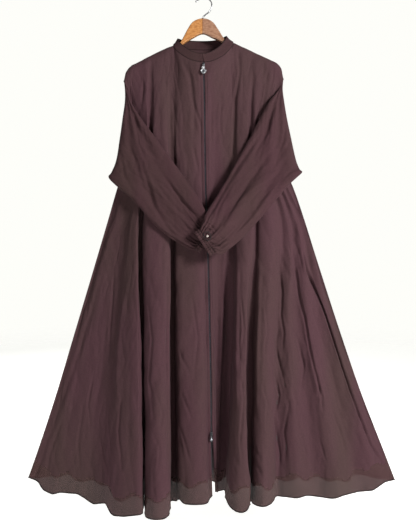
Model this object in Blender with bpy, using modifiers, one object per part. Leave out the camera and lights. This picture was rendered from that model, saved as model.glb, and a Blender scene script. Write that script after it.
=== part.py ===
"""A long umbrella-cut abaya with a front zip, its sleeves crossed in front, on a wooden hanger.

Metres, +Z up. The origin is the inside top of the hanger's hook, where the hook rests on a rail.
The garment's front faces -Y. Left and right in the names are the wearer's, so right is at -X.
"""

import math

import bmesh
import bpy
import numpy as np
from mathutils import Vector

# Cloth and seams
CLOTH = 0.0015
LINING_CLOTH = 0.0012
BAND_CLOTH = 0.0022
SEAM_GAP = 0.0003
LAYER_GAP = 0.0004
HALF_SEAM = SEAM_GAP / 2
FLAT_SEAM_Y = CLOTH + HALF_SEAM

# Heights that the fold tables refer to
UNDERARM_Z = -0.460
WAIST_Z = -0.595
HIP_Z = -0.955
FRONT_EDGE_HEM_Z = -1.400

# How far a fold has opened at each height, as a share of its depth at the hem
FOLD_HEIGHTS = (-1.390, HIP_Z, WAIST_Z, UNDERARM_Z, -0.130)
FOLD_SHARES = (1.00, 0.62, 0.28, 0.17, 0.00)

# How far the valleys of the front and of the back lie from the hanger's plane
BODICE_DEPTH = 0.0125
FRONT_HEM_DEPTH = 0.006
BACK_HEM_DEPTH = 0.012

# The shoulder wraps over the hanger: a flat top, then a rounded drop
WRAP_FLAT = 0.0045
WRAP_DEPTH = 0.0085
WRAP_DROP = 0.006
NECK_DROPS = (0.005, 0.014)
NECK_FLARE = 0.0005
EDGE_STRIP = 0.006

# Neckline: a flattened ring round the hanger
NECK_X = -0.002
NECK_HALF = 0.087
NECK_FRONT_Y = -0.031
NECK_BACK_Y = 0.028
NECK_SIDE_Z = -0.1338
NECK_TILT = 0.0037
NECK_FRONT_Z = -0.1943
NECK_BACK_Z = -0.1390
COLLAR_TOP_X = -0.0055
COLLAR_TOP_HALF = 0.0715
COLLAR_TOP_FRONT_Y = -0.0285
COLLAR_TOP_BACK_Y = 0.0250
COLLAR_SIDE_RISE = 0.0205
COLLAR_FRONT_RISE = 0.0250
COLLAR_BACK_RISE = 0.0240
COLLAR_FOOT = 0.0030
COLLAR_OPENING = 0.0006

# Shoulder seams, from the neck point out to the tip: x, z
SHOULDER = {
    "right": ((-0.0890, -0.1375), (-0.1215, -0.1512), (-0.1521, -0.1664), (-0.1783, -0.1800),
              (-0.2080, -0.1955), (-0.2215, -0.2080), (-0.2275, -0.2200), (-0.2290, -0.2340)),
    "left": ((0.0850, -0.1301), (0.1160, -0.1440), (0.1391, -0.1547), (0.1832, -0.1762),
             (0.2085, -0.1880), (0.2205, -0.2000), (0.2260, -0.2130), (0.2270, -0.2280)),
}
# Armhole edges, from the shoulder's tip down to the underarm: z, x
ARMHOLE = {
    "right": ((-0.234, -0.2290), (-0.240, -0.2290), (-0.266, -0.2185), (-0.306, -0.2120), (-0.354, -0.2110),
              (-0.407, -0.2130), (UNDERARM_Z, -0.2210)),
    "left": ((-0.228, 0.2270), (-0.234, 0.2270), (-0.261, 0.2165), (-0.302, 0.2100), (-0.352, 0.2090),
             (-0.406, 0.2110), (UNDERARM_Z, 0.2190)),
}
ARMHOLE_DEPTH = 0.0100

# Side seams under the arm: z, x
SIDE_SEAM = {
    "right": ((UNDERARM_Z, -0.2210), (-0.520, -0.2415), (WAIST_Z, -0.2635), (-0.754, -0.3102),
              (HIP_Z, -0.3701), (-1.157, -0.4308), (-1.318, -0.4838), (-1.380, -0.5054)),
    "left": ((UNDERARM_Z, 0.2190), (-0.520, 0.2470), (WAIST_Z, 0.2745), (-0.754, 0.3254),
             (HIP_Z, 0.3902), (-1.151, 0.4579), (-1.279, 0.5080), (-1.386, 0.5495)),
}

# Front zip, from the collar to the lower slider: z, x, y
ZIP = (
    (-0.1955, -0.0015, -0.0310),
    (-0.3000, 0.0012, -0.0250),
    (-0.4600, 0.0030, -0.0225),
    (-0.5950, 0.0060, -0.0240),
    (-0.7540, 0.0115, -0.0290),
    (-0.9550, 0.0165, -0.0360),
    (-1.1400, 0.0200, -0.0420),
    (-1.2360, 0.0210, -0.0440),
)
ZIP_END_Z = -1.236
ZIP_HALF = 0.0032
ZIP_THICK = 0.0022
ZIP_EDGE = ZIP_HALF + SEAM_GAP
OPEN_EDGE = {"right": (0.0225, -0.0450), "left": (0.0330, -0.0130)}

# Folds, from the side to the zip or from side to side. A row is one ridge, valley or fold side:
# name, x at the top, underarm, waist, hip and hem, depth at the hem, z of the hem, steps to the next
FRONT_RIGHT_FOLDS = (
    ("side_soft", -0.208, -0.196, -0.2420, -0.343, -0.455, 0.005, -1.409, 1),
    ("side_ridge", -0.198, -0.189, -0.2270, -0.304, -0.392, 0.016, -1.417, 2),
    ("panel_slope", -0.187, -0.181, -0.2100, -0.259, -0.313, 0.038, -1.432, 2),
    ("panel_ridge", -0.175, -0.173, -0.1965, -0.221, -0.245, 0.084, -1.446, 2),
    ("panel_end", -0.160, -0.164, -0.1815, -0.1765, -0.1665, 0.108, -1.438, 1),
    ("valley_outer", -0.1525, -0.158, -0.1780, -0.1765, -0.1710, 0.018, -1.420, 1),
    ("valley_outer_end", -0.1490, -0.154, -0.1720, -0.1705, -0.1630, 0.018, -1.420, 1),
    ("flute_a_start", -0.143, -0.149, -0.1645, -0.1615, -0.1560, 0.096, -1.441, 1),
    ("flute_a_crown", -0.127, -0.129, -0.1310, -0.1260, -0.1235, 0.125, -1.444, 1),
    ("flute_a_end", -0.107, -0.104, -0.0990, -0.0965, -0.0950, 0.108, -1.440, 2),
    ("valley_mid", -0.096, -0.0955, -0.0942, -0.0955, -0.0925, 0.008, -1.416, 1),
    ("neck_point", -0.0890, -0.0890, -0.0893, -0.0900, -0.0865, 0.006, -1.416, 1),
    ("valley_end", -0.0850, -0.0845, -0.0850, -0.0845, -0.0790, 0.008, -1.416, 1),
    ("flute_b_start", -0.076, -0.0785, -0.0800, -0.0785, -0.0680, 0.056, -1.419, 2),
    ("flute_b_crown", -0.040, -0.039, -0.0380, -0.0320, -0.0260, 0.074, -1.424, 2),
    ("flute_b_end", -0.016, -0.0125, -0.0090, -0.0010, 0.0080, 0.066, -1.418, 1),
)
FRONT_LEFT_FOLDS = (
    ("flute_c_crown", 0.026, 0.031, 0.0345, 0.0370, 0.0370, 0.009, -1.413, 1),
    ("flute_c_end", 0.052, 0.057, 0.0600, 0.0550, 0.0405, 0.009, -1.412, 1),
    ("valley_dark", 0.063, 0.066, 0.0672, 0.0600, 0.0450, 0.006, -1.411, 1),
    ("valley_dark_end", 0.081, 0.0825, 0.0843, 0.0810, 0.0570, 0.006, -1.411, 1),
    ("neck_point", 0.0850, 0.0862, 0.0870, 0.0840, 0.0605, 0.016, -1.414, 1),
    ("flute_d_start", 0.092, 0.0935, 0.0921, 0.0880, 0.0655, 0.062, -1.430, 2),
    ("flute_d_crown", 0.107, 0.111, 0.1129, 0.1046, 0.0950, 0.086, -1.439, 2),
    ("flute_d_end", 0.124, 0.129, 0.1370, 0.1240, 0.1262, 0.074, -1.437, 1),
    ("valley_left", 0.133, 0.1365, 0.1455, 0.1330, 0.1290, 0.024, -1.423, 1),
    ("valley_left_end", 0.136, 0.1400, 0.1495, 0.1395, 0.1350, 0.024, -1.423, 1),
    ("flute_e_start", 0.144, 0.1450, 0.1555, 0.1455, 0.1385, 0.048, -1.426, 1),
    ("flute_e_crown", 0.155, 0.1510, 0.1790, 0.1700, 0.1630, 0.066, -1.432, 2),
    ("flute_e_end", 0.164, 0.1570, 0.1990, 0.1930, 0.1929, 0.044, -1.425, 1),
    ("notch", 0.171, 0.1630, 0.2110, 0.2090, 0.2098, 0.018, -1.421, 1),
    ("panel_ridge_1", 0.178, 0.1690, 0.2240, 0.2390, 0.2618, 0.034, -1.424, 2),
    ("panel_valley", 0.185, 0.1750, 0.2350, 0.2690, 0.3224, 0.018, -1.422, 1),
    ("panel_ridge_2", 0.192, 0.1810, 0.2460, 0.2995, 0.3798, 0.034, -1.424, 2),
    ("side_valley", 0.200, 0.1870, 0.2550, 0.3332, 0.4438, 0.012, -1.412, 1),
    ("side_soft", 0.207, 0.1940, 0.2640, 0.3642, 0.5001, 0.016, -1.400, 1),
)
BACK_FOLDS = (
    ("side_soft_right", -0.208, -0.196, -0.243, -0.345, -0.465, 0.010, -1.387, 1),
    ("ridge_1", -0.192, -0.182, -0.218, -0.300, -0.400, 0.050, -1.392, 2),
    ("valley_1", -0.172, -0.163, -0.187, -0.250, -0.330, 0.010, -1.394, 2),
    ("ridge_2", -0.150, -0.144, -0.159, -0.205, -0.268, 0.064, -1.397, 2),
    ("valley_2", -0.124, -0.121, -0.130, -0.160, -0.204, 0.006, -1.398, 2),
    ("ridge_3", -0.104, -0.102, -0.105, -0.122, -0.150, 0.060, -1.400, 1),
    ("neck_point_right", -0.0890, -0.084, -0.083, -0.092, -0.108, 0.034, -1.400, 1),
    ("valley_3", -0.072, -0.066, -0.062, -0.062, -0.070, 0.004, -1.400, 2),
    ("ridge_4", -0.036, -0.034, -0.030, -0.022, -0.012, 0.072, -1.402, 2),
    ("valley_4", 0.000, 0.000, 0.006, 0.018, 0.036, 0.010, -1.401, 2),
    ("ridge_5", 0.034, 0.032, 0.038, 0.052, 0.072, 0.056, -1.401, 2),
    ("valley_5", 0.066, 0.062, 0.068, 0.086, 0.112, 0.004, -1.400, 1),
    ("neck_point_left", 0.0850, 0.082, 0.089, 0.110, 0.140, 0.036, -1.400, 1),
    ("ridge_6", 0.104, 0.100, 0.110, 0.142, 0.182, 0.070, -1.400, 2),
    ("valley_6", 0.128, 0.124, 0.141, 0.186, 0.240, 0.008, -1.398, 2),
    ("ridge_7", 0.152, 0.146, 0.172, 0.236, 0.306, 0.058, -1.397, 2),
    ("valley_7", 0.174, 0.165, 0.200, 0.282, 0.374, 0.012, -1.394, 2),
    ("ridge_8", 0.192, 0.181, 0.230, 0.326, 0.438, 0.046, -1.392, 2),
    ("side_soft_left", 0.207, 0.194, 0.258, 0.370, 0.505, 0.010, -1.390, 1),
)

# Rows of a panel, as shares of the way from the wrap to the underarm, then on to the hem
UPPER_ROWS = (0.12, 0.30, 0.52, 0.76, 1.0)
LOWER_ROWS = (0.09, 0.19, 0.29, 0.39, 0.49, 0.59, 0.68, 0.76, 0.8255, 0.89, 0.95, 1.0)
LINING_FIRST = 0.49
LINING_LAST = 0.95
# Each panel is one cloth, built in three stretches: it is cut across at these of its rows
STRETCHES = ("shoulder", "bodice", "skirt")
PANEL_CUTS = (4, 3 + len(UPPER_ROWS) + LOWER_ROWS.index(LINING_FIRST))

# Sleeve sections from the armhole to the cuff. The sleeve lies folded flat along an outer edge
# (out) and an inner edge (in); stand is how far its rear layer is in front of the hanger's plane,
# and seam is 1 where the section still opens into the armhole, 0 where it is a closed tube:
# out_x, out_z, in_x, in_z, stand_out, stand_in, seam
SLEEVE_ROWS = {
    "right": (
        (-0.2272, -0.2651, -0.2205, -0.2640, 0.0020, 0.0010, 1.0),
        (-0.2266, -0.3000, -0.2045, -0.3010, 0.0100, 0.0185, 1.0),
        (-0.2331, -0.3508, -0.1769, -0.3544, 0.0145, 0.0270, 1.0),
        (-0.2405, -0.4060, -0.1400, -0.4040, 0.0165, 0.0340, 1.0),
        (-0.2532, -0.4806, -0.0849, -0.4801, 0.0200, 0.0400, 1.0),
        (-0.2626, -0.5060, -0.0664, -0.5060, 0.0240, 0.0430, 0.45),
        (-0.2678, -0.5230, -0.0496, -0.5300, 0.0300, 0.0455, 0.0),
        (-0.2397, -0.5511, -0.0398, -0.5441, 0.0360, 0.0480, 0.0),
        (-0.2102, -0.5749, -0.0301, -0.5569, 0.0420, 0.0500, 0.0),
        (-0.1767, -0.6097, -0.0189, -0.5729, 0.0500, 0.0530, 0.0),
        (-0.1404, -0.6515, -0.0078, -0.5907, 0.0580, 0.0560, 0.0),
        (-0.0932, -0.6931, 0.0030, -0.6132, 0.0610, 0.0600, 0.0),
        (-0.0560, -0.7145, 0.0145, -0.6360, 0.0640, 0.0640, 0.0),
        (-0.0335, -0.7250, 0.0200, -0.6520, 0.0670, 0.0660, 0.0),
        (-0.0240, -0.7235, 0.0205, -0.6640, 0.0680, 0.0680, 0.0),
    ),
    "left": (
        (0.2262, -0.2620, 0.2150, -0.2600, 0.0020, 0.0010, 1.0),
        (0.2295, -0.3000, 0.1865, -0.2985, 0.0120, 0.0200, 1.0),
        (0.2375, -0.3500, 0.1590, -0.3490, 0.0150, 0.0250, 1.0),
        (0.2490, -0.4060, 0.1305, -0.4060, 0.0160, 0.0285, 1.0),
        (0.2651, -0.4778, 0.0909, -0.4778, 0.0190, 0.0325, 1.0),
        (0.2717, -0.4963, 0.0755, -0.5060, 0.0220, 0.0350, 0.45),
        (0.2764, -0.5077, 0.0615, -0.5314, 0.0260, 0.0375, 0.0),
        (0.2613, -0.5219, 0.0545, -0.5428, 0.0280, 0.0410, 0.0),
        (0.2458, -0.5361, 0.0448, -0.5597, 0.0300, 0.0450, 0.0),
        (0.2049, -0.5824, 0.0295, -0.5852, 0.0360, 0.0560, 0.0),
        (0.1600, -0.6354, 0.0129, -0.6121, 0.0460, 0.0700, 0.0),
        (0.1264, -0.6716, 0.0019, -0.6319, 0.0570, 0.0850, 0.0),
        (0.0795, -0.7156, -0.0030, -0.6480, 0.0720, 0.0885, 0.0),
        (0.0440, -0.7375, -0.0085, -0.6600, 0.0850, 0.0895, 0.0),
        (0.0305, -0.7336, -0.0121, -0.6702, 0.0900, 0.0900, 0.0),
    ),
}
SLEEVE_FULL = 0.012
SLEEVE_FOLD = 0.006
CAP_DROP = 0.0035
CAP_ENDS = 0.0115
EDGE_GAP = 0.0012
ARMHOLE_TURN = 0.0175
CAP_STRIP = 0.0030
TURN_IN = 0.0040
TURN_OUT = 0.0062
FULL_LAP = 0.030
# Shares of the width where the columns of the front layer and of the rear layer lie
FRONT_LAYER = (0.13, 0.31, 0.50, 0.69, 0.87)
FRONT_POINTS = slice(5, 12)
REAR_LAYER = (0.15, 0.30, 0.45)
CAP_REAR = (0.30, 0.60, 0.85)
REAR_PLEAT = (0.58, 0.67, 0.75, 0.82, 0.88, 0.94)
SLEEVE_CREASES = (2.5, 0.0022)

# Cuffs, buttons and loops
CUFF_LENGTH = 0.0165
BUTTON_RADIUS = 0.0034
BUTTON_HEIGHT = 0.0042
BUTTON_PLACE = (0.0280, 0.0077)
LOOP_HALF = (0.0115, 0.0095)
LOOP_CORD = 0.0010

# Zip hardware
SLIDER = (0.0078, 0.0030, 0.0110)
SLIDER_TOP_Z = -0.2025
SLIDER_BOTTOM_Z = -1.2400
LUG = (0.0022, 0.0030, 0.0050)
PULL_PIN = 0.0008
PULL_PIN_LENGTH = 0.0044
PULL_NECK = 0.0013
PULL_TOP = ((0.0095, 0.0046, 0.0022), (0.0195, 0.0078, 0.0028))
PULL_BOTTOM = ((0.0085, 0.0036, 0.0020), (0.0150, 0.0048, 0.0024))

# Hanger
HOOK_RADIUS = 0.0226
HOOK_WIRE = 0.0019
WOOD_THICK = 0.0120
WOOD_ROUND = 0.0028
WOOD_CLEAR = 0.0036
TIP_DEPTH = 0.013

COLOURS = {
    "cloth": (0.082, 0.048, 0.053, 1.0),
    "lining": (0.045, 0.028, 0.032, 1.0),
    "zip": (0.035, 0.032, 0.038, 1.0),
    "steel": (0.55, 0.55, 0.56, 1.0),
    "stone": (0.80, 0.80, 0.84, 1.0),
    "pearl": (0.84, 0.80, 0.74, 1.0),
    "wood": (0.58, 0.27, 0.07, 1.0),
}


def clear_scene():
    for old in list(bpy.data.objects):
        bpy.data.objects.remove(old, do_unlink=True)


def material(name, roughness, metallic=0.0):
    made = bpy.data.materials.new(name)
    made.use_nodes = True
    shader = made.node_tree.nodes["Principled BSDF"]
    shader.inputs["Base Color"].default_value = COLOURS[name]
    shader.inputs["Roughness"].default_value = roughness
    shader.inputs["Metallic"].default_value = metallic
    return made


def add_object(name, mesh, finish):
    made = bpy.data.objects.new(name, mesh)
    PARTS.objects.link(made)
    mesh.materials.append(finish)
    return made


def smooth(knots, values, at):
    """A smooth curve through the values at rising knots, read at the places given."""
    knots = np.asarray(knots, float)
    values = np.asarray(values, float)
    at = np.clip(np.asarray(at, float), knots[0], knots[-1])
    slopes = np.gradient(values, knots, axis=0)
    i = np.clip(np.searchsorted(knots, at, side="right") - 1, 0, len(knots) - 2)
    width = knots[i + 1] - knots[i]
    t = (at - knots[i]) / width
    shape = (-1,) + (1,) * (values.ndim - 1)
    t, width = t.reshape(shape), width.reshape(shape)
    start = (2 * t**3 - 3 * t**2 + 1) * values[i] + (t**3 - 2 * t**2 + t) * width * slopes[i]
    end = (3 * t**2 - 2 * t**3) * values[i + 1] + (t**3 - t**2) * width * slopes[i + 1]
    return start + end


def fold_share(z):
    return np.interp(z, FOLD_HEIGHTS, FOLD_SHARES)


def shoulder_z(x):
    rows = SHOULDER["right"] if x < 0 else SHOULDER["left"]
    return float(np.interp(abs(x), [abs(row[0]) for row in rows], [row[1] for row in rows]))


def neckline(angle):
    """A point of the neckline; the angle is 0 at centre front and grows towards +X."""
    forward = math.cos(angle)
    share = abs(forward) ** 1.5
    y = forward * NECK_FRONT_Y if forward > 0 else -forward * NECK_BACK_Y
    side_z = NECK_SIDE_Z + NECK_TILT * math.sin(angle)
    end_z = NECK_FRONT_Z if forward > 0 else NECK_BACK_Z
    return np.array((NECK_X + NECK_HALF * math.sin(angle), y, side_z * (1 - share) + end_z * share))


def top_rows(x, front):
    """The first three points of a panel's line: at the seam, on the wrap and under it."""
    out = -1.0 if front else 1.0
    across = (x - NECK_X) / NECK_HALF
    if abs(across) < 0.99:
        angle = math.asin(across) if front else math.pi - math.asin(across)
        seam = neckline(angle)
        drops = (0.0,) + NECK_DROPS
        return [seam + np.array((0.0, out * NECK_FLARE * i, -drop)) for i, drop in enumerate(drops)]
    z = shoulder_z(x)
    seam_y = FLAT_SEAM_Y if abs(across) < 1.01 else HALF_SEAM
    return [
        np.array((x, out * seam_y, z)),
        np.array((x, out * WRAP_FLAT, z)),
        np.array((x, out * WRAP_DEPTH, z - WRAP_DROP)),
    ]


def armhole_depth(z, side):
    """How far the armhole's edge is from the hanger's plane, closing at the underarm."""
    top_z = ARMHOLE[side][0][0]
    down = min(max((top_z - z) / (top_z - UNDERARM_Z), 0.0), 1.0)
    open_top = WRAP_DEPTH + (ARMHOLE_DEPTH - WRAP_DEPTH) * min(down * 3, 1.0)
    closing = math.sqrt(max(0.0, 1.0 - max(0.0, (down - 0.72) / 0.28) ** 2))
    return FLAT_SEAM_Y + (open_top - FLAT_SEAM_Y) * closing


def armhole_x(z, side):
    rows = ARMHOLE[side][::-1]
    return float(np.interp(z, [row[0] for row in rows], [row[1] for row in rows]))


def armhole_heights(side):
    """The heights of a panel's rows along the armhole, from under the wrap to the underarm."""
    first = ARMHOLE[side][0][0] - WRAP_DROP
    return [first + (UNDERARM_Z - first) * share for share in (0.0,) + UPPER_ROWS]


def lower_heights(hem_z):
    return [UNDERARM_Z + (hem_z - UNDERARM_Z) * share for share in LOWER_ROWS]


def fold_line(row, front):
    """The points of one fold line from the top seam to the hem."""
    _, x_top, x_under, x_waist, x_hip, x_hem, depth, hem_z, _ = row
    out = -1.0 if front else 1.0
    top = top_rows(x_top, front)
    start = top[-1]
    heights = [start[2] + (UNDERARM_Z - start[2]) * share for share in UPPER_ROWS] + lower_heights(hem_z)
    heights = np.array(heights)
    knots = (hem_z, HIP_Z, WAIST_Z, UNDERARM_Z, start[2])
    xs = smooth(knots, (x_hem, x_hip, x_waist, x_under, start[0]), heights)
    hem_depth = FRONT_HEM_DEPTH if front else BACK_HEM_DEPTH
    valley = np.interp(heights, (hem_z, WAIST_Z), (hem_depth, BODICE_DEPTH))
    lean = (abs(start[1]) - BODICE_DEPTH) * np.exp((heights - start[2]) / 0.11)
    ys = out * (valley + lean + depth * fold_share(heights))
    return top + [np.array(point) for point in zip(xs, ys, heights)]


def side_line(side, front, inset):
    """The armhole edge and the side seam under it; inset gives the flat strip beside it."""
    out = -1.0 if front else 1.0
    inward = 1.0 if side == "right" else -1.0
    top_z, top_x = ARMHOLE[side][0]
    x_top = top_x + inward * inset
    rise = shoulder_z(x_top) - top_z if inset else 0.0
    points = [np.array((x_top, out * y, top_z - drop + rise)) for y, drop in
              ((HALF_SEAM, 0.0), (WRAP_FLAT, 0.0), (WRAP_DEPTH, WRAP_DROP))]
    for z in armhole_heights(side)[1:]:
        points.append(np.array((armhole_x(z, side) + inward * inset, out * armhole_depth(z, side), z)))
    seam = SIDE_SEAM[side][::-1]
    for z in lower_heights(seam[0][0]):
        x = float(smooth([row[0] for row in seam], [row[1] for row in seam], [z])[0])
        points.append(np.array((x + inward * inset, out * FLAT_SEAM_Y, z)))
    return points


def zip_place(z):
    rows = ZIP[::-1]
    x, y = smooth([row[0] for row in rows], [row[1:] for row in rows], [z])[0]
    return x, y


def front_edge(side, inset):
    """The front edge of a panel, beside the zip and then open under the lower slider."""
    outward = -1.0 if side == "right" else 1.0
    top = neckline(math.asin((ZIP[0][1] - NECK_X) / NECK_HALF))
    start_z = top[2] - NECK_DROPS[-1]
    heights = [top[2]] + [top[2] - drop for drop in NECK_DROPS]
    heights += [start_z + (UNDERARM_Z - start_z) * share for share in UPPER_ROWS]
    heights += lower_heights(FRONT_EDGE_HEM_Z)
    points = []
    for z in heights:
        x, y = zip_place(max(z, ZIP_END_Z))
        if z < ZIP_END_Z:
            down = (ZIP_END_Z - z) / (ZIP_END_Z - FRONT_EDGE_HEM_Z)
            x += (OPEN_EDGE[side][0] - outward * ZIP_EDGE - x) * down
            y += (OPEN_EDGE[side][1] - y) * down
        points.append(np.array((x + outward * (ZIP_EDGE + inset), y, z)))
    return points


def weave(lines, steps, rounded):
    """A grid, rows by columns, through lines of points, with the steps given between lines. Where
    rounded is set, two steps straddle a ridge or valley instead of standing on it."""
    places = []
    for i, count in enumerate(steps):
        shift = 0.25 if rounded and count == 2 else 0.0
        places += [i + shift + j / count for j in range(count)]
    places.append(float(len(steps)))
    rows = []
    for row in zip(*lines):
        row = np.array(row)
        gaps = np.sqrt(np.linalg.norm(np.diff(row, axis=0), axis=1))
        knots = np.concatenate(((0.0,), np.cumsum(gaps)))
        rows.append(smooth(knots, row, np.interp(places, range(len(knots)), knots)))
    return np.array(rows)


def panel_grid(folds, front, first, last):
    lines = list(first) + [fold_line(row, front) for row in folds] + list(last)
    steps = [1] * len(first) + [row[-1] for row in folds] + [1] * (len(last) - 1)
    return weave(lines, steps, not front)


def grid_mesh(name, grid, outward, closed=False, slit_rows=0):
    """A surface over a grid of points. A closed grid joins its last column to its first, but for
    its first rows, which stay apart when slit_rows is given."""
    mesh = bpy.data.meshes.new(name)
    bm = bmesh.new()
    rows = [[bm.verts.new(point) for point in row] for row in grid]
    if closed:
        for i, row in enumerate(rows):
            if i >= slit_rows:
                bm.verts.remove(row[-1])
                row[-1] = row[0]
    for upper, lower in zip(rows, rows[1:]):
        for j in range(len(upper) - 1):
            corners = [upper[j], lower[j], lower[j + 1], upper[j + 1]]
            corners = list(dict.fromkeys(corners))
            bm.faces.new(corners if outward else corners[::-1])
    bm.to_mesh(mesh)
    bm.free()
    mesh.shade_smooth()
    return mesh


def cloth_piece(name, grid, outward, thickness, finish, closed=False, slit_rows=0):
    piece = add_object(name, grid_mesh(name, grid, outward, closed, slit_rows), finish)
    wall = piece.modifiers.new("wall", "SOLIDIFY")
    wall.thickness = thickness
    wall.offset = -1.0
    return piece


def inner_grid(piece, grid, depth):
    """The grid moved in along the normals of the piece made from it."""
    normals = np.array([vert.normal for vert in piece.data.vertices])
    return grid - normals.reshape(grid.shape) * depth


def stretches(grid):
    """A panel's grid in its stretches from the shoulder down, each a seam's gap from the cut."""
    ends = (0,) + PANEL_CUTS + (len(grid) - 1,)
    parts = []
    for first, last in zip(ends, ends[1:]):
        rows = grid[first:last + 1].copy()
        rows[0, :, 2] -= SEAM_GAP * (first > 0)
        rows[-1, :, 2] += SEAM_GAP * (last < len(grid) - 1)
        parts.append(rows)
    return parts


def build_panels(cloth, lining):
    lining_rows = slice(0, 1 + LOWER_ROWS.index(LINING_LAST) - LOWER_ROWS.index(LINING_FIRST))
    sides = {
        ("right", True): [side_line("right", True, 0.0), side_line("right", True, EDGE_STRIP)],
        ("left", True): [side_line("left", True, EDGE_STRIP), side_line("left", True, 0.0)],
        ("right", False): [side_line("right", False, 0.0), side_line("right", False, EDGE_STRIP)],
        ("left", False): [side_line("left", False, EDGE_STRIP), side_line("left", False, 0.0)],
    }
    fronts = {
        "right": [front_edge("right", EDGE_STRIP), front_edge("right", 0.0)],
        "left": [front_edge("left", 0.0), front_edge("left", EDGE_STRIP)],
    }
    grids = {
        "front_right": (panel_grid(FRONT_RIGHT_FOLDS, True, sides["right", True], fronts["right"]), True),
        "front_left": (panel_grid(FRONT_LEFT_FOLDS, True, fronts["left"], sides["left", True]), True),
        "back": (panel_grid(BACK_FOLDS, False, sides["right", False], sides["left", False]), False),
    }
    inset = {"front_right": slice(2, -1), "front_left": slice(1, -2), "back": slice(2, -2)}
    for name, (grid, outward) in grids.items():
        for stretch, rows in zip(STRETCHES, stretches(grid)):
            panel = cloth_piece(name + "_" + stretch, rows, outward, CLOTH, cloth)
        inside = inner_grid(panel, rows, CLOTH + LAYER_GAP)[lining_rows, inset[name]]
        cloth_piece("lining_" + name, inside, outward, LINING_CLOTH, lining)
    return grids


def sleeve_section(side, row, seam_z):
    """One section of a sleeve: from the rear armhole edge round the outer fold, across the front
    layer, round the inner fold and back behind it to the front armhole edge."""
    out_x, out_z, in_x, in_z, stand_out, stand_in, seam = row
    inward = 1.0 if side == "right" else -1.0
    out_end, in_end = np.array((out_x, out_z)), np.array((in_x, in_z))
    span = np.linalg.norm(in_end - out_end)
    fold = min(SLEEVE_FOLD, span * 0.3) / span

    def place(share, forward):
        x, z = out_end + (in_end - out_end) * share
        eased = 1.0 - (1.0 - share) ** 3
        return np.array((x, -(stand_out + (stand_in - stand_out) * eased + forward), z))

    front = [place(fold, SLEEVE_FULL)]
    for share in FRONT_LAYER:
        crease = SLEEVE_CREASES[1] * min(span / 0.1, 1.0) * math.sin(share * SLEEVE_CREASES[0] * 2 * math.pi)
        front.append(place(fold + (1.0 - 2 * fold) * share, SLEEVE_FULL + crease))
    front.append(place(1.0 - fold, SLEEVE_FULL))
    rear = [place(1.0 - fold, 0.0)] + [place(1.0 - share, 0.0) for share in REAR_LAYER]
    pleat = [place(1.0 - share, 0.0) for share in REAR_PLEAT]
    outer, inner = place(0.0, SLEEVE_FULL / 2), place(1.0, SLEEVE_FULL / 2)
    tube = pleat[3:] + [place(fold, 0.0), outer] + front + [inner] + rear + pleat[:4]
    if not seam:
        return tube

    closed = seam_z <= UNDERARM_Z
    depth = 0.0 if closed else armhole_depth(seam_z, side)
    spread = max(depth, 0.004)
    outward = np.array((-inward, 0.0, 0.0))
    forward = np.array((0.0, -1.0, 0.0))
    edge = np.array((armhole_x(seam_z, side), 0.0, seam_z)) + outward * EDGE_GAP
    turn_rear = edge + outward * TURN_IN + forward * ARMHOLE_TURN
    turn_tip = edge + outward * TURN_OUT + forward * (spread + ARMHOLE_TURN) / 2
    back_strip = edge + outward * CAP_STRIP - forward * spread
    front_strip = edge + outward * CAP_STRIP + forward * spread
    behind = []
    for share in CAP_REAR:
        point = rear[0] + (turn_rear - rear[0]) * share
        point[1] = rear[0][1] + (turn_rear[1] - rear[0][1]) * share**3
        behind.append(point)
    out_back = np.array((out_x + inward * SLEEVE_FOLD * 0.4, spread * 0.6, out_z))
    out_tip = np.array((out_x, (spread * 0.6 + front[0][1]) / 2, out_z))
    rear_half = [edge - forward * depth, back_strip, (back_strip + out_back) / 2, out_back, out_tip]
    folded = [inner, rear[0]] + behind + [turn_rear, turn_tip, front_strip, edge + forward * depth]
    straight = np.linspace(front[-1], folded[-1], len(folded) + 1)[1:]
    lap = min(max(inward * (in_x - edge[0]) / FULL_LAP, 0.0), 1.0)
    front_half = [plain + (point - plain) * lap for plain, point in zip(straight, folded)]
    opened = rear_half + front + front_half
    return [flat + (point - flat) * seam for flat, point in zip(tube, opened)]


def cap_arc(side, count):
    """The top of the armhole, where the sleeve's head is sewn on, from back to front."""
    top_z = ARMHOLE[side][0][0] - CAP_DROP
    points = []
    for share in np.linspace(-1.0, 1.0, count):
        z = top_z - (CAP_ENDS - CAP_DROP) * abs(share) ** 2.2
        x = armhole_x(z + CAP_DROP * (1.0 - abs(share)), side)
        points.append(np.array((x + math.copysign(EDGE_GAP + CLOTH / 2, x), -share * WRAP_DEPTH, z)))
    return points


def build_sleeve(side, cloth):
    rows = SLEEVE_ROWS[side]
    seam_heights = armhole_heights(side)[1:]
    seam_heights += [UNDERARM_Z] * (len(rows) - len(seam_heights))
    sections = [sleeve_section(side, row, seam_z) for row, seam_z in zip(rows, seam_heights)]
    grid = [cap_arc(side, len(sections[0]))] + sections
    slit = 1 + sum(1 for seam_z in seam_heights if seam_z > UNDERARM_Z)
    cloth_piece("sleeve_" + side, np.array(grid), side == "right", CLOTH, cloth, True, slit)
    return sections[-2:]


def cuff_frame(side):
    """The cuff's inner corner, the direction across it and the one out of the sleeve."""
    row = SLEEVE_ROWS[side][-1]
    along = np.array((row[0] - row[2], 0.0, row[1] - row[3]))
    along /= np.linalg.norm(along)
    axis = np.cross(along, (0.0, 1.0, 0.0)) * (1.0 if side == "right" else -1.0)
    return np.array((row[2], 0.0, row[3])), along, axis


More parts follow.
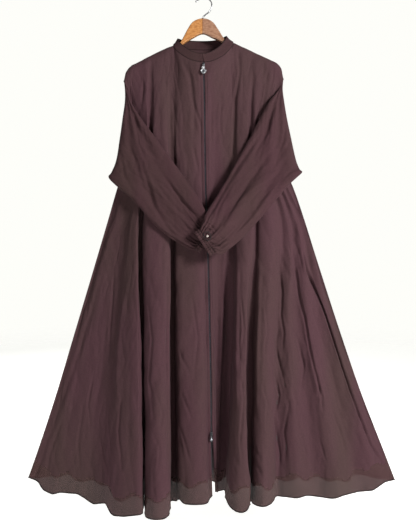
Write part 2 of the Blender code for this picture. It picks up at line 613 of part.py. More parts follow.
def front_layer_y(side, sections, place):
    """The depth of the sleeve's front layer near the cuff, read at a place's x and z."""
    inner, along, axis = cuff_frame(side)
    ups, depths = [], []
    for section in sections:
        points = np.array(section)[FRONT_POINTS][::-1]
        run = (points - inner) @ along
        at = np.dot(place - inner, along)
        ups.append(np.interp(at, run, -(points - inner) @ axis))
        depths.append(np.interp(at, run, points[:, 1]))
    up = max(-np.dot(place - inner, axis), 0.0)
    return float(np.interp(up, ups[::-1], depths[::-1]))


def loop_route(side, sections, centre, count):
    """The points of the cord loop, which follows the sleeve round the button."""
    _, along, axis = cuff_frame(side)
    route = []
    for i in range(count):
        angle = 2 * math.pi * i / count
        place = centre + along * LOOP_HALF[0] * math.cos(angle) + axis * LOOP_HALF[1] * math.sin(angle)
        place[1] = front_layer_y(side, sections, place) - LOOP_CORD - LAYER_GAP
        route.append(place)
    return route


def build_cuff(side, sections, cloth, pearl):
    """The cuff's band, its button and its loop, from the sleeve's last section."""
    inner, along, axis = cuff_frame(side)
    ring = np.array(sections[-1])
    reach = (SEAM_GAP * 3, CUFF_LENGTH / 2, CUFF_LENGTH)
    cloth_piece("cuff_" + side, np.array([ring + axis * step for step in reach]), side == "right", BAND_CLOTH,
                cloth, True)
    centre = inner + along * BUTTON_PLACE[0] - axis * BUTTON_PLACE[1]
    under = [front_layer_y(side, sections, centre + along * a + axis * b)
             for a in (-BUTTON_RADIUS, 0.0, BUTTON_RADIUS) for b in (-BUTTON_RADIUS, 0.0, BUTTON_RADIUS)]
    centre[1] = min(under) - SEAM_GAP
    button(side, centre, pearl)
    loop(side, loop_route(side, sections, centre, 18), cloth)


def button(side, centre, pearl):
    bm = bmesh.new()
    bmesh.ops.create_uvsphere(bm, u_segments=12, v_segments=8, radius=BUTTON_RADIUS)
    for vert in bm.verts:
        vert.co.z = max(vert.co.z, 0.0) * BUTTON_HEIGHT / BUTTON_RADIUS
    bmesh.ops.remove_doubles(bm, verts=bm.verts, dist=0.00001)
    flat = [face for face in bm.faces if max(vert.co.z for vert in face.verts) < 0.00001]
    bmesh.ops.dissolve_faces(bm, faces=flat)
    mesh = bpy.data.meshes.new("cuff_button_" + side)
    bm.to_mesh(mesh)
    bm.free()
    mesh.shade_smooth()
    made = add_object("cuff_button_" + side, mesh, pearl)
    made.rotation_euler = (math.pi / 2, 0.0, 0.0)
    made.location = centre


def loop(side, route, cloth):
    """A cord loop that lies round the button."""
    curve = bpy.data.curves.new("cuff_loop_" + side, "CURVE")
    curve.dimensions = "3D"
    curve.bevel_depth = LOOP_CORD
    curve.bevel_resolution = 1
    spline = curve.splines.new("POLY")
    spline.points.add(len(route) - 1)
    spline.use_cyclic_u = True
    for point, place in zip(spline.points, route):
        point.co = (*place, 1.0)
    made = bpy.data.objects.new("cuff_loop_" + side, curve)
    PARTS.objects.link(made)
    curve.materials.append(cloth)


def neck_points(grids):
    """The neckline's points on the three panels, from centre front round the back to the front."""
    left, back, right = [grids[name][0][0] for name in ("front_left", "back", "front_right")]
    ends = SHOULDER["right"][0][0] - 0.0001, SHOULDER["left"][0][0] + 0.0001
    rows = [[point for point in row if ends[0] < point[0] < ends[1]] for row in (left, back, right)]
    start = rows[0][0]
    first = np.array((ZIP[0][1] + COLLAR_OPENING, start[1], start[2]))
    last = np.array((ZIP[0][1] - COLLAR_OPENING, start[1], start[2]))
    return [first] + rows[0] + rows[1][::-1] + rows[2] + [last]


def build_collar(points, cloth):
    rows = []
    for share, rise in ((0.0, 0.0), (0.0, COLLAR_FOOT), (0.5, 0.0), (1.0, 0.0)):
        half = NECK_HALF + (COLLAR_TOP_HALF - NECK_HALF) * share
        centre = NECK_X + (COLLAR_TOP_X - NECK_X) * share
        row = []
        for point in points:
            across = min(max((point[0] - NECK_X) / NECK_HALF, -1.0), 1.0)
            front = math.sqrt(1.0 - across**2)
            weight = front**1.5
            if point[1] < 0:
                y = point[1] * (1.0 + (COLLAR_TOP_FRONT_Y / NECK_FRONT_Y - 1.0) * share)
                lift = COLLAR_SIDE_RISE * (1 - weight) + COLLAR_FRONT_RISE * weight
            else:
                y = point[1] * (1.0 + (COLLAR_TOP_BACK_Y / NECK_BACK_Y - 1.0) * share)
                lift = COLLAR_SIDE_RISE * (1 - weight) + COLLAR_BACK_RISE * weight
            row.append((centre + half * across, y, point[2] + SEAM_GAP + lift * share + rise))
        rows.append(row)
    cloth_piece("collar", np.array(rows), False, BAND_CLOTH, cloth)


def strip(name, places, half, thick, forward, finish):
    """A flat strip that follows places (x, y, z) down the front."""
    grid = [[(x - half, y - forward, z), (x + half, y - forward, z)] for x, y, z in places]
    cloth_piece(name, np.array(grid), True, thick, finish)


def build_zip(finish):
    edge = front_edge("right", 0.0)
    closed = [(point[0] + ZIP_EDGE, point[1], point[2]) for point in edge if point[2] > ZIP_END_Z - 0.0005]
    strip("zip_chain", closed, ZIP_HALF, ZIP_THICK, 0.0002, finish)
    for side, outward in (("right", -1.0), ("left", 1.0)):
        edge = [point for point in front_edge(side, 0.0) if point[2] < ZIP_END_Z - 0.0005]
        half = ZIP_HALF / 2 - SEAM_GAP
        lead = (np.array(closed[-1]) + np.array((outward * ZIP_HALF / 2, 0.0, -SEAM_GAP * 3)))
        places = [lead] + [point - np.array((outward * (SEAM_GAP + half), 0.0, 0.0)) for point in edge[:-1]]
        strip("zip_tape_" + side, places, half, ZIP_THICK, 0.0002, finish)


def box(name, size, centre, finish, bevel):
    bpy.ops.mesh.primitive_cube_add(size=1.0)
    made = bpy.context.object
    made.name = made.data.name = name
    for vert in made.data.vertices:
        vert.co = Vector(a * b for a, b in zip(vert.co, size))
    for old in made.users_collection:
        old.objects.unlink(made)
    PARTS.objects.link(made)
    made.data.materials.append(finish)
    made.location = centre
    rounding = made.modifiers.new("rounding", "BEVEL")
    rounding.width = bevel
    rounding.segments = 2
    return made


def cylinder(name, radius, depth, centre, turn, sides, finish=None):
    bpy.ops.mesh.primitive_cylinder_add(vertices=sides, radius=radius, depth=depth, rotation=turn,
                                        location=centre)
    made = bpy.context.object
    made.name = made.data.name = name
    made.data.shade_smooth()
    for old in made.users_collection:
        old.objects.unlink(made)
    PARTS.objects.link(made)
    if finish:
        made.data.materials.append(finish)
    return made


def union(target, extra):
    join = target.modifiers.new("join", "BOOLEAN")
    join.operation = "UNION"
    join.object = extra
    extra.hide_render = True
    extra.display_type = "WIRE"
    for old in extra.users_collection:
        old.objects.unlink(extra)
    CUTTERS.objects.link(extra)


def build_slider(name, z, discs, steel, stone):
    """A slider with its lug, and a pull that hangs before the lug and turns about X."""
    x, y = zip_place(max(z, ZIP_END_Z))
    face_y = y - 0.0002 - SEAM_GAP
    body = box("slider_" + name, SLIDER, (x, face_y - SLIDER[1] / 2, z), steel, 0.0008)
    lug_y = face_y - SLIDER[1] - LUG[1] / 2 + 0.0004
    union(body, box("lug_" + name, LUG, (x, lug_y, z), steel, 0.0004))
    pivot = (x, face_y - SLIDER[1] - LUG[1] + 0.0004 - PULL_PIN - SEAM_GAP, z)
    pull = cylinder("pull_" + name, PULL_PIN, PULL_PIN_LENGTH, pivot, (0.0, math.pi / 2, 0.0), 12, stone)
    length = discs[-1][0]
    shank = (PULL_NECK, PULL_PIN * 1.6, length)
    union(pull, box("shank_" + name, shank, (x, pivot[1], z - length / 2), stone, 0.0002))
    for i, (down, radius, depth) in enumerate(discs):
        place = (x, pivot[1], z - down)
        disc = cylinder("disc_%s_%d" % (name, i), radius, depth, place, (math.pi / 2, 0.0, 0.0), 20)
        rounding = disc.modifiers.new("rounding", "BEVEL")
        rounding.width = depth * 0.3
        rounding.segments = 2
        rounding.limit_method = "ANGLE"
        union(pull, disc)


def wood_outline():
    """The hanger's outline from the front: over the top from tip to tip and back underneath."""
    right_arm, left_arm = [], []
    for side, store in (("right", right_arm), ("left", left_arm)):
        inward = 1.0 if side == "right" else -1.0
        for x, z in SHOULDER[side][1:6]:
            store.append((x + inward * WOOD_CLEAR * 0.5, z - WOOD_CLEAR))
        store.append((SHOULDER[side][6][0] + inward * 0.0045, SHOULDER[side][6][1] - 0.005))
    neck = ((-0.0900, -0.1465), (-0.0790, -0.1395), (-0.0660, -0.1245), (-0.0461, -0.0880),
            (-0.0348, -0.0715), (-0.0200, -0.0625), (-0.0040, -0.0593), (0.0120, -0.0620), (0.0270, -0.0715),
            (0.0390, -0.0880), (0.0595, -0.1195), (0.0730, -0.1340), (0.0860, -0.1430))
    under = ((0.0800, -0.1500), (0.0550, -0.1290), (0.0250, -0.1150), (-0.0040, -0.1030), (-0.0330, -0.1160),
             (-0.0570, -0.1310), (-0.0820, -0.1545))
    over = right_arm[::-1] + list(neck) + left_arm
    lower_left = [(0.2130, left_arm[-1][1] - TIP_DEPTH), (0.1500, -0.1930), (0.1000, -0.1640)]
    lower_right = [(-0.1000, -0.1680), (-0.1500, -0.1970), (-0.2140, right_arm[-1][1] - TIP_DEPTH)]
    return over + lower_left + list(under) + lower_right


def build_hanger(wood, steel):
    outline = wood_outline()
    curve = bpy.data.curves.new("hanger_wood", "CURVE")
    curve.dimensions = "2D"
    curve.fill_mode = "BOTH"
    curve.extrude = WOOD_THICK / 2 - WOOD_ROUND
    curve.bevel_depth = WOOD_ROUND
    curve.bevel_resolution = 2
    curve.offset = -WOOD_ROUND
    spline = curve.splines.new("POLY")
    spline.points.add(len(outline) - 1)
    spline.use_cyclic_u = True
    for point, (x, z) in zip(spline.points, outline):
        point.co = (x, z, 0.0, 1.0)
    made = bpy.data.objects.new("hanger_wood", curve)
    made.rotation_euler = (math.pi / 2, 0.0, 0.0)
    PARTS.objects.link(made)
    curve.materials.append(wood)

    centre_z = -HOOK_RADIUS + HOOK_WIRE
    route = [(-0.0232, centre_z + 0.0095), (-0.0222, centre_z + 0.0125)]
    for i in range(1, 24):
        angle = math.radians(140 - 7.9 * i)
        route.append((HOOK_RADIUS * math.cos(angle), centre_z + HOOK_RADIUS * math.sin(angle)))
    route += [(0.0150, centre_z - 0.0185), (0.0095, centre_z - 0.0230), (0.0035, centre_z - 0.0275),
              (-0.0015, centre_z - 0.0325), (-0.0036, centre_z - 0.0360), (-0.0040, -0.0593 + SEAM_GAP)]
    curve = bpy.data.curves.new("hanger_hook", "CURVE")
    curve.dimensions = "3D"
    curve.bevel_depth = HOOK_WIRE
    curve.bevel_resolution = 2
    curve.use_fill_caps = True
    spline = curve.splines.new("POLY")
    spline.points.add(len(route) - 1)
    for point, (x, z) in zip(spline.points, route):
        point.co = (x, 0.0, z, 1.0)
    made = bpy.data.objects.new("hanger_hook", curve)
    PARTS.objects.link(made)
    curve.materials.append(steel)


def build():
    cloth = material("cloth", 0.85)
    lining = material("lining", 0.80)
    zip_finish = material("zip", 0.60)
    steel = material("steel", 0.30, 1.0)
    stone = material("stone", 0.15, 0.6)
    pearl = material("pearl", 0.20)
    wood = material("wood", 0.45)
    grids = build_panels(cloth, lining)
    for side in ("right", "left"):
        build_cuff(side, build_sleeve(side, cloth), cloth, pearl)
    build_collar(neck_points(grids), cloth)
    build_zip(zip_finish)
    build_slider("top", SLIDER_TOP_Z, PULL_TOP, steel, stone)
    build_slider("bottom", SLIDER_BOTTOM_Z, PULL_BOTTOM, steel, stone)
    build_hanger(wood, steel)


clear_scene()
PARTS = bpy.data.collections.new("abaya")
CUTTERS = bpy.data.collections.new("cutters")
bpy.context.scene.collection.children.link(PARTS)
bpy.context.scene.collection.children.link(CUTTERS)
build()
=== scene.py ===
"""The looks of a long umbrella-cut abaya on a wooden hanger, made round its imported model.

Metres, +Z up. The garment's front faces -Y. Left and right in the names are the wearer's.
The cloth pieces follow the same fold lines as the solids, read more finely and then creased.
"""

import math

import bmesh
import bpy
import numpy as np
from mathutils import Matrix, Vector


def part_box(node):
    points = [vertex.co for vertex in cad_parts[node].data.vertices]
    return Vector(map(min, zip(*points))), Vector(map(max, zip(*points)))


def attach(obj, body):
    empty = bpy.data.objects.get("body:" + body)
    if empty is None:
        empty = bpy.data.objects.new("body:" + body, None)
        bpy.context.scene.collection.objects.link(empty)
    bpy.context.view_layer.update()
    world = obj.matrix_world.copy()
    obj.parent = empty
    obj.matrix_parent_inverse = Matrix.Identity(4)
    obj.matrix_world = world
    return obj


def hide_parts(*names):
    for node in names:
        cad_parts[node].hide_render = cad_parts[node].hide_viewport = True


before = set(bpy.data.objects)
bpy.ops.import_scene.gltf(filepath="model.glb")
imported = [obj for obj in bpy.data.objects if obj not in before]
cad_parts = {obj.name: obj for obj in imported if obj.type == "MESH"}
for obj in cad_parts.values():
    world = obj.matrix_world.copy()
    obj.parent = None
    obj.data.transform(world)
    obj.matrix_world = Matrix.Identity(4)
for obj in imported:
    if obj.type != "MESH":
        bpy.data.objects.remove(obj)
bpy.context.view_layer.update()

# Cloth and seams
CLOTH = 0.0015
SEAM_GAP = 0.0003
LAYER_GAP = 0.0004
HALF_SEAM = SEAM_GAP / 2
FLAT_SEAM_Y = CLOTH + HALF_SEAM

# From each side's outer edge towards the hanger's middle, along X, and the way that the front faces
INWARD = {"right": 1.0, "left": -1.0}
FORWARD = np.array((0.0, -1.0, 0.0))

# Heights that the fold tables refer to
UNDERARM_Z = -0.460
WAIST_Z = -0.595
HIP_Z = -0.955
FRONT_EDGE_HEM_Z = -1.400

# How far a fold has opened at each height, as a share of its depth at the hem
FOLD_HEIGHTS = (-1.390, HIP_Z, WAIST_Z, UNDERARM_Z, -0.130)
FOLD_SHARES = (1.00, 0.62, 0.28, 0.17, 0.00)

# How far the valleys of the front and of the back lie from the hanger's plane
BODICE_DEPTH = 0.0125
FRONT_HEM_DEPTH = 0.006
BACK_HEM_DEPTH = 0.012

# The shoulder wraps over the hanger: a flat top, then a rounded drop
WRAP_FLAT = 0.0045
WRAP_DEPTH = 0.0085
WRAP_DROP = 0.006
NECK_DROPS = (0.005, 0.014)
NECK_FLARE = 0.0005
EDGE_STRIP = 0.006

# Neckline: a flattened ring round the hanger
NECK_X = -0.002
NECK_HALF = 0.087
NECK_FRONT_Y = -0.031
NECK_BACK_Y = 0.028
NECK_SIDE_Z = -0.1338
NECK_TILT = 0.0037
NECK_FRONT_Z = -0.1943
NECK_BACK_Z = -0.1390
# The collar's top edge, and how far it rises above the neckline at the sides, front and back
COLLAR_TOP_X = -0.0055
COLLAR_TOP_HALF = 0.0715
COLLAR_TOP_FRONT_Y = -0.0285
COLLAR_TOP_BACK_Y = 0.0250
COLLAR_SIDE_RISE = 0.0205
COLLAR_FRONT_RISE = 0.0250
COLLAR_BACK_RISE = 0.0240
COLLAR_FOOT = 0.0030
COLLAR_OPENING = 0.0006

# Shoulder seams, from the neck point out to the tip: x, z
SHOULDER = {
    "right": ((-0.0890, -0.1375), (-0.1215, -0.1512), (-0.1521, -0.1664), (-0.1783, -0.1800),
              (-0.2080, -0.1955), (-0.2215, -0.2080), (-0.2275, -0.2200), (-0.2290, -0.2340)),
    "left": ((0.0850, -0.1301), (0.1160, -0.1440), (0.1391, -0.1547), (0.1832, -0.1762),
             (0.2085, -0.1880), (0.2205, -0.2000), (0.2260, -0.2130), (0.2270, -0.2280)),
}
# Armhole edges, from the shoulder's tip down to the underarm: z, x
ARMHOLE = {
    "right": ((-0.234, -0.2290), (-0.240, -0.2290), (-0.266, -0.2185), (-0.306, -0.2120), (-0.354, -0.2110),
              (-0.407, -0.2130), (UNDERARM_Z, -0.2210)),
    "left": ((-0.228, 0.2270), (-0.234, 0.2270), (-0.261, 0.2165), (-0.302, 0.2100), (-0.352, 0.2090),
             (-0.406, 0.2110), (UNDERARM_Z, 0.2190)),
}
ARMHOLE_DEPTH = 0.0100

# Side seams under the arm: z, x
SIDE_SEAM = {
    "right": ((UNDERARM_Z, -0.2210), (-0.520, -0.2415), (WAIST_Z, -0.2635), (-0.754, -0.3102),
              (HIP_Z, -0.3701), (-1.157, -0.4308), (-1.318, -0.4838), (-1.380, -0.5054)),
    "left": ((UNDERARM_Z, 0.2190), (-0.520, 0.2470), (WAIST_Z, 0.2745), (-0.754, 0.3254),
             (HIP_Z, 0.3902), (-1.151, 0.4579), (-1.279, 0.5080), (-1.386, 0.5495)),
}

# Front zip, from the collar to the lower slider: z, x, y
ZIP = (
    (-0.1955, -0.0015, -0.0310),
    (-0.3000, 0.0012, -0.0250),
    (-0.4600, 0.0030, -0.0225),
    (-0.5950, 0.0060, -0.0240),
    (-0.7540, 0.0115, -0.0290),
    (-0.9550, 0.0165, -0.0360),
    (-1.1400, 0.0200, -0.0420),
    (-1.2360, 0.0210, -0.0440),
)
ZIP_END_Z = -1.236
ZIP_HALF = 0.0032
ZIP_EDGE = ZIP_HALF + SEAM_GAP
OPEN_EDGE = {"right": (0.0225, -0.0450), "left": (0.0330, -0.0130)}

# Folds, from the side to the zip or from side to side. A row is one ridge, valley or fold side:
# x at the top, underarm, waist, hip and hem, depth at the hem, z of the hem
FRONT_RIGHT_FOLDS = (
    (-0.208, -0.196, -0.2420, -0.343, -0.455, 0.005, -1.409),  # side_soft
    (-0.198, -0.189, -0.2270, -0.304, -0.392, 0.016, -1.417),  # side_ridge
    (-0.187, -0.181, -0.2100, -0.259, -0.313, 0.038, -1.432),  # panel_slope
    (-0.175, -0.173, -0.1965, -0.221, -0.245, 0.084, -1.446),  # panel_ridge
    (-0.160, -0.164, -0.1815, -0.1765, -0.1665, 0.108, -1.438),  # panel_end
    (-0.1525, -0.158, -0.1780, -0.1765, -0.1710, 0.018, -1.420),  # valley_outer
    (-0.1490, -0.154, -0.1720, -0.1705, -0.1630, 0.018, -1.420),  # valley_outer_end
    (-0.143, -0.149, -0.1645, -0.1615, -0.1560, 0.096, -1.441),  # flute_a_start
    (-0.127, -0.129, -0.1310, -0.1260, -0.1235, 0.125, -1.444),  # flute_a_crown
    (-0.107, -0.104, -0.0990, -0.0965, -0.0950, 0.108, -1.440),  # flute_a_end
    (-0.096, -0.0955, -0.0942, -0.0955, -0.0925, 0.008, -1.416),  # valley_mid
    (-0.0890, -0.0890, -0.0893, -0.0900, -0.0865, 0.006, -1.416),  # neck_point
    (-0.0850, -0.0845, -0.0850, -0.0845, -0.0790, 0.008, -1.416),  # valley_end
    (-0.076, -0.0785, -0.0800, -0.0785, -0.0680, 0.056, -1.419),  # flute_b_start
    (-0.040, -0.039, -0.0380, -0.0320, -0.0260, 0.074, -1.424),  # flute_b_crown
    (-0.016, -0.0125, -0.0090, -0.0010, 0.0080, 0.066, -1.418),  # flute_b_end
)
FRONT_LEFT_FOLDS = (
    (0.026, 0.031, 0.0345, 0.0370, 0.0370, 0.009, -1.413),  # flute_c_crown
    (0.052, 0.057, 0.0600, 0.0550, 0.0405, 0.009, -1.412),  # flute_c_end
    (0.063, 0.066, 0.0672, 0.0600, 0.0450, 0.006, -1.411),  # valley_dark
    (0.081, 0.0825, 0.0843, 0.0810, 0.0570, 0.006, -1.411),  # valley_dark_end
    (0.0850, 0.0862, 0.0870, 0.0840, 0.0605, 0.016, -1.414),  # neck_point
    (0.092, 0.0935, 0.0921, 0.0880, 0.0655, 0.062, -1.430),  # flute_d_start
    (0.107, 0.111, 0.1129, 0.1046, 0.0950, 0.086, -1.439),  # flute_d_crown
    (0.124, 0.129, 0.1370, 0.1240, 0.1262, 0.074, -1.437),  # flute_d_end
    (0.133, 0.1365, 0.1455, 0.1330, 0.1290, 0.024, -1.423),  # valley_left
    (0.136, 0.1400, 0.1495, 0.1395, 0.1350, 0.024, -1.423),  # valley_left_end
    (0.144, 0.1450, 0.1555, 0.1455, 0.1385, 0.048, -1.426),  # flute_e_start
    (0.155, 0.1510, 0.1790, 0.1700, 0.1630, 0.066, -1.432),  # flute_e_crown
    (0.164, 0.1570, 0.1990, 0.1930, 0.1929, 0.044, -1.425),  # flute_e_end
    (0.171, 0.1630, 0.2110, 0.2090, 0.2098, 0.018, -1.421),  # notch
    (0.178, 0.1690, 0.2240, 0.2390, 0.2618, 0.034, -1.424),  # panel_ridge_1
    (0.185, 0.1750, 0.2350, 0.2690, 0.3224, 0.018, -1.422),  # panel_valley
    (0.192, 0.1810, 0.2460, 0.2995, 0.3798, 0.034, -1.424),  # panel_ridge_2
    (0.200, 0.1870, 0.2550, 0.3332, 0.4438, 0.012, -1.412),  # side_valley
    (0.207, 0.1940, 0.2640, 0.3642, 0.5001, 0.016, -1.400),  # side_soft
)
BACK_FOLDS = (
    (-0.208, -0.196, -0.243, -0.345, -0.465, 0.010, -1.387),  # side_soft_right
    (-0.192, -0.182, -0.218, -0.300, -0.400, 0.050, -1.392),  # ridge_1
    (-0.172, -0.163, -0.187, -0.250, -0.330, 0.010, -1.394),  # valley_1
    (-0.150, -0.144, -0.159, -0.205, -0.268, 0.064, -1.397),  # ridge_2
    (-0.124, -0.121, -0.130, -0.160, -0.204, 0.006, -1.398),  # valley_2
    (-0.104, -0.102, -0.105, -0.122, -0.150, 0.060, -1.400),  # ridge_3
    (-0.0890, -0.084, -0.083, -0.092, -0.108, 0.034, -1.400),  # neck_point_right
    (-0.072, -0.066, -0.062, -0.062, -0.070, 0.004, -1.400),  # valley_3
    (-0.036, -0.034, -0.030, -0.022, -0.012, 0.072, -1.402),  # ridge_4
    (0.000, 0.000, 0.006, 0.018, 0.036, 0.010, -1.401),  # valley_4
    (0.034, 0.032, 0.038, 0.052, 0.072, 0.056, -1.401),  # ridge_5
    (0.066, 0.062, 0.068, 0.086, 0.112, 0.004, -1.400),  # valley_5
    (0.0850, 0.082, 0.089, 0.110, 0.140, 0.036, -1.400),  # neck_point_left
    (0.104, 0.100, 0.110, 0.142, 0.182, 0.070, -1.400),  # ridge_6
    (0.128, 0.124, 0.141, 0.186, 0.240, 0.008, -1.398),  # valley_6
    (0.152, 0.146, 0.172, 0.236, 0.306, 0.058, -1.397),  # ridge_7
    (0.174, 0.165, 0.200, 0.282, 0.374, 0.012, -1.394),  # valley_7
    (0.192, 0.181, 0.230, 0.326, 0.438, 0.046, -1.392),  # ridge_8
    (0.207, 0.194, 0.258, 0.370, 0.505, 0.010, -1.390),  # side_soft_left
)

# Rows of a panel, as shares of the way from the wrap to the underarm, then on to the hem
UPPER_ROWS = (0.12, 0.30, 0.52, 0.76, 1.0)
LOWER_ROWS = (0.09, 0.19, 0.29, 0.39, 0.49, 0.59, 0.68, 0.76, 0.8255, 0.89, 0.95, 1.0)
# The rows between which the lining hangs, counted from the seam at the top
LINING_FIRST = 3 + len(UPPER_ROWS) + LOWER_ROWS.index(0.49)
LINING_LAST = 3 + len(UPPER_ROWS) + LOWER_ROWS.index(0.95)
# Each panel is one cloth here and three nodes in the frame
STRETCHES = ("shoulder", "bodice", "skirt")

# Sleeve sections from the armhole to the cuff. The sleeve lies folded flat along an outer edge
# (out) and an inner edge (in); stand is how far its rear layer is in front of the hanger's plane,
# and seam is 1 where the section still opens into the armhole, 0 where it is a closed tube:
# out_x, out_z, in_x, in_z, stand_out, stand_in, seam
SLEEVE_ROWS = {
    "right": (
        (-0.2272, -0.2651, -0.2205, -0.2640, 0.0020, 0.0010, 1.0),
        (-0.2266, -0.3000, -0.2045, -0.3010, 0.0100, 0.0185, 1.0),
        (-0.2331, -0.3508, -0.1769, -0.3544, 0.0145, 0.0270, 1.0),
        (-0.2405, -0.4060, -0.1400, -0.4040, 0.0165, 0.0340, 1.0),
        (-0.2532, -0.4806, -0.0849, -0.4801, 0.0200, 0.0400, 1.0),
        (-0.2626, -0.5060, -0.0664, -0.5060, 0.0240, 0.0430, 0.45),
        (-0.2678, -0.5230, -0.0496, -0.5300, 0.0300, 0.0455, 0.0),
        (-0.2397, -0.5511, -0.0398, -0.5441, 0.0360, 0.0480, 0.0),
        (-0.2102, -0.5749, -0.0301, -0.5569, 0.0420, 0.0500, 0.0),
        (-0.1767, -0.6097, -0.0189, -0.5729, 0.0500, 0.0530, 0.0),
        (-0.1404, -0.6515, -0.0078, -0.5907, 0.0580, 0.0560, 0.0),
        (-0.0932, -0.6931, 0.0030, -0.6132, 0.0610, 0.0600, 0.0),
        (-0.0560, -0.7145, 0.0145, -0.6360, 0.0640, 0.0640, 0.0),
        (-0.0335, -0.7250, 0.0200, -0.6520, 0.0670, 0.0660, 0.0),
        (-0.0240, -0.7235, 0.0205, -0.6640, 0.0680, 0.0680, 0.0),
    ),
    "left": (
        (0.2262, -0.2620, 0.2150, -0.2600, 0.0020, 0.0010, 1.0),
        (0.2295, -0.3000, 0.1865, -0.2985, 0.0120, 0.0200, 1.0),
        (0.2375, -0.3500, 0.1590, -0.3490, 0.0150, 0.0250, 1.0),
        (0.2490, -0.4060, 0.1305, -0.4060, 0.0160, 0.0285, 1.0),
        (0.2651, -0.4778, 0.0909, -0.4778, 0.0190, 0.0325, 1.0),
        (0.2717, -0.4963, 0.0755, -0.5060, 0.0220, 0.0350, 0.45),
        (0.2764, -0.5077, 0.0615, -0.5314, 0.0260, 0.0375, 0.0),
        (0.2613, -0.5219, 0.0545, -0.5428, 0.0280, 0.0410, 0.0),
        (0.2458, -0.5361, 0.0448, -0.5597, 0.0300, 0.0450, 0.0),
        (0.2049, -0.5824, 0.0295, -0.5852, 0.0360, 0.0560, 0.0),
        (0.1600, -0.6354, 0.0129, -0.6121, 0.0460, 0.0700, 0.0),
        (0.1264, -0.6716, 0.0019, -0.6319, 0.0570, 0.0850, 0.0),
        (0.0795, -0.7156, -0.0030, -0.6480, 0.0720, 0.0885, 0.0),
        (0.0440, -0.7375, -0.0085, -0.6600, 0.0850, 0.0895, 0.0),
        (0.0305, -0.7336, -0.0121, -0.6702, 0.0900, 0.0900, 0.0),
    ),
}
# How far apart a sleeve's layers lie, how wide its folds are, and its creases: how many, how deep
SLEEVE_FULL = 0.012
SLEEVE_FOLD = 0.006
SLEEVE_CREASES = (2.5, 0.0022)
# How a sleeve's head is turned in at the armhole
CAP_DROP = 0.0035
CAP_ENDS = 0.0115
EDGE_GAP = 0.0012
ARMHOLE_TURN = 0.0175
CAP_STRIP = 0.0030
TURN_IN = 0.0040
TURN_OUT = 0.0062
FULL_LAP = 0.030
# Shares of the width where the columns of the front layer and of the rear layer lie
FRONT_LAYER = (0.13, 0.31, 0.50, 0.69, 0.87)
FRONT_POINTS = slice(5, 12)
REAR_LAYER = (0.15, 0.30, 0.45)
CAP_REAR = (0.30, 0.60, 0.85)
REAR_PLEAT = (0.58, 0.67, 0.75, 0.82, 0.88, 0.94)

# Cuffs, buttons and loops. A button's place is along the cuff and up the sleeve from the cuff's
# inner corner
CUFF_LENGTH = 0.0165
BUTTON_RADIUS = 0.0034
BUTTON_PLACE = (0.0280, 0.0077)
LOOP_HALF = (0.0115, 0.0095)
LOOP_CORD = 0.0010

# Zip hardware: width, depth and height of a slider and of its lug, and the discs of each pull,
# with their distance under the pin, radius and thickness
SLIDER = (0.0078, 0.0030, 0.0110)
SLIDER_TOP_Z = -0.2025
SLIDER_BOTTOM_Z = -1.2400
LUG = (0.0022, 0.0030, 0.0050)
PULL_PIN = 0.0008
PULL_TOP = ((0.0095, 0.0046, 0.0022), (0.0195, 0.0078, 0.0028))
PULL_BOTTOM = ((0.0085, 0.0036, 0.0020), (0.0150, 0.0048, 0.0024))
# A slider's plates: thickness and rounding. Its post from the front, and its bridge: half height,
# how far inside the plate it starts, how far past the pin it goes, and the radius of its wire
SLIDER_PLATE = (0.0016, 0.0005)
SLIDER_BACK = (0.0012, 0.0004)
SLIDER_POST = ((-0.0014, 0.002), (-0.0014, 0.0048), (0.0014, 0.0048), (0.0014, 0.002))
BRIDGE = (0.0034, 0.0004, 0.0016, 0.0007)
# A pull's pin: half length. Its wires: how far aside and, as a share of the first disc, how far down
PIN_HALF = 0.0022
PULL_WIRE = ((0.0020, 0.0), (0.0021, 0.4), (0.0009, 0.85), (0.0006, 1.15))
PULL_WIRE_RADIUS = 0.00055
# A disc's bezel, as shares of its radius and of half its thickness, and where its stones lie
BEZEL = ((0.0, -1.0), (0.86, -1.0), (1.0, -0.5), (1.0, 0.4), (0.93, 1.0), (0.84, 1.0), (0.78, 0.45), (0.0, 0.45))
STONE_SEAT = 0.45
# A disc larger than this has a ring of sparks round a heart: how many, and the ring's share of it
LARGE_DISC = 0.006
SPARKS = 14
SPARK_RING = 0.68
# Stones: share of the disc's radius, sides and height
STONES = {"spark": (0.145, 8, 0.0009), "heart": (0.56, 3, 0.0016), "stone": (0.74, 10, 0.0013)}

# Hanger
HOOK_RADIUS = 0.0226
HOOK_WIRE = 0.0019
WOOD_THICK = 0.0120
WOOD_ROUND = 0.0028
WOOD_CLEAR = 0.0036
TIP_DEPTH = 0.013
# The wood's edge over its neck, from right to left, and back under it
WOOD_NECK = ((-0.0900, -0.1465), (-0.0790, -0.1395), (-0.0660, -0.1245), (-0.0461, -0.0880),
             (-0.0348, -0.0715), (-0.0200, -0.0625), (-0.0040, -0.0593), (0.0120, -0.0620), (0.0270, -0.0715),
             (0.0390, -0.0880), (0.0595, -0.1195), (0.0730, -0.1340), (0.0860, -0.1430))
WOOD_UNDER = ((0.0800, -0.1500), (0.0550, -0.1290), (0.0250, -0.1150), (-0.0040, -0.1030), (-0.0330, -0.1160),
              (-0.0570, -0.1310), (-0.0820, -0.1545))
# The hook's tip and its shank, as x and z from the middle of its bend, and the washer at its foot
HOOK_TIP = ((-0.0232, 0.0095), (-0.0222, 0.0125))
HOOK_SHANK = ((0.0150, -0.0185), (0.0095, -0.0230), (0.0035, -0.0275), (-0.0015, -0.0325), (-0.0036, -0.0360))
HOOK_FOOT = (-0.0040, -0.0593 + SEAM_GAP)
WASHER = ((0.0, -0.0016), (0.0026, -0.0016), (0.0036, -0.0008), (0.0036, 0.0006), (0.0026, 0.0014), (0.0, 0.0014))
WASHER_PLACE = (-0.0040, 0.0, -0.0590)

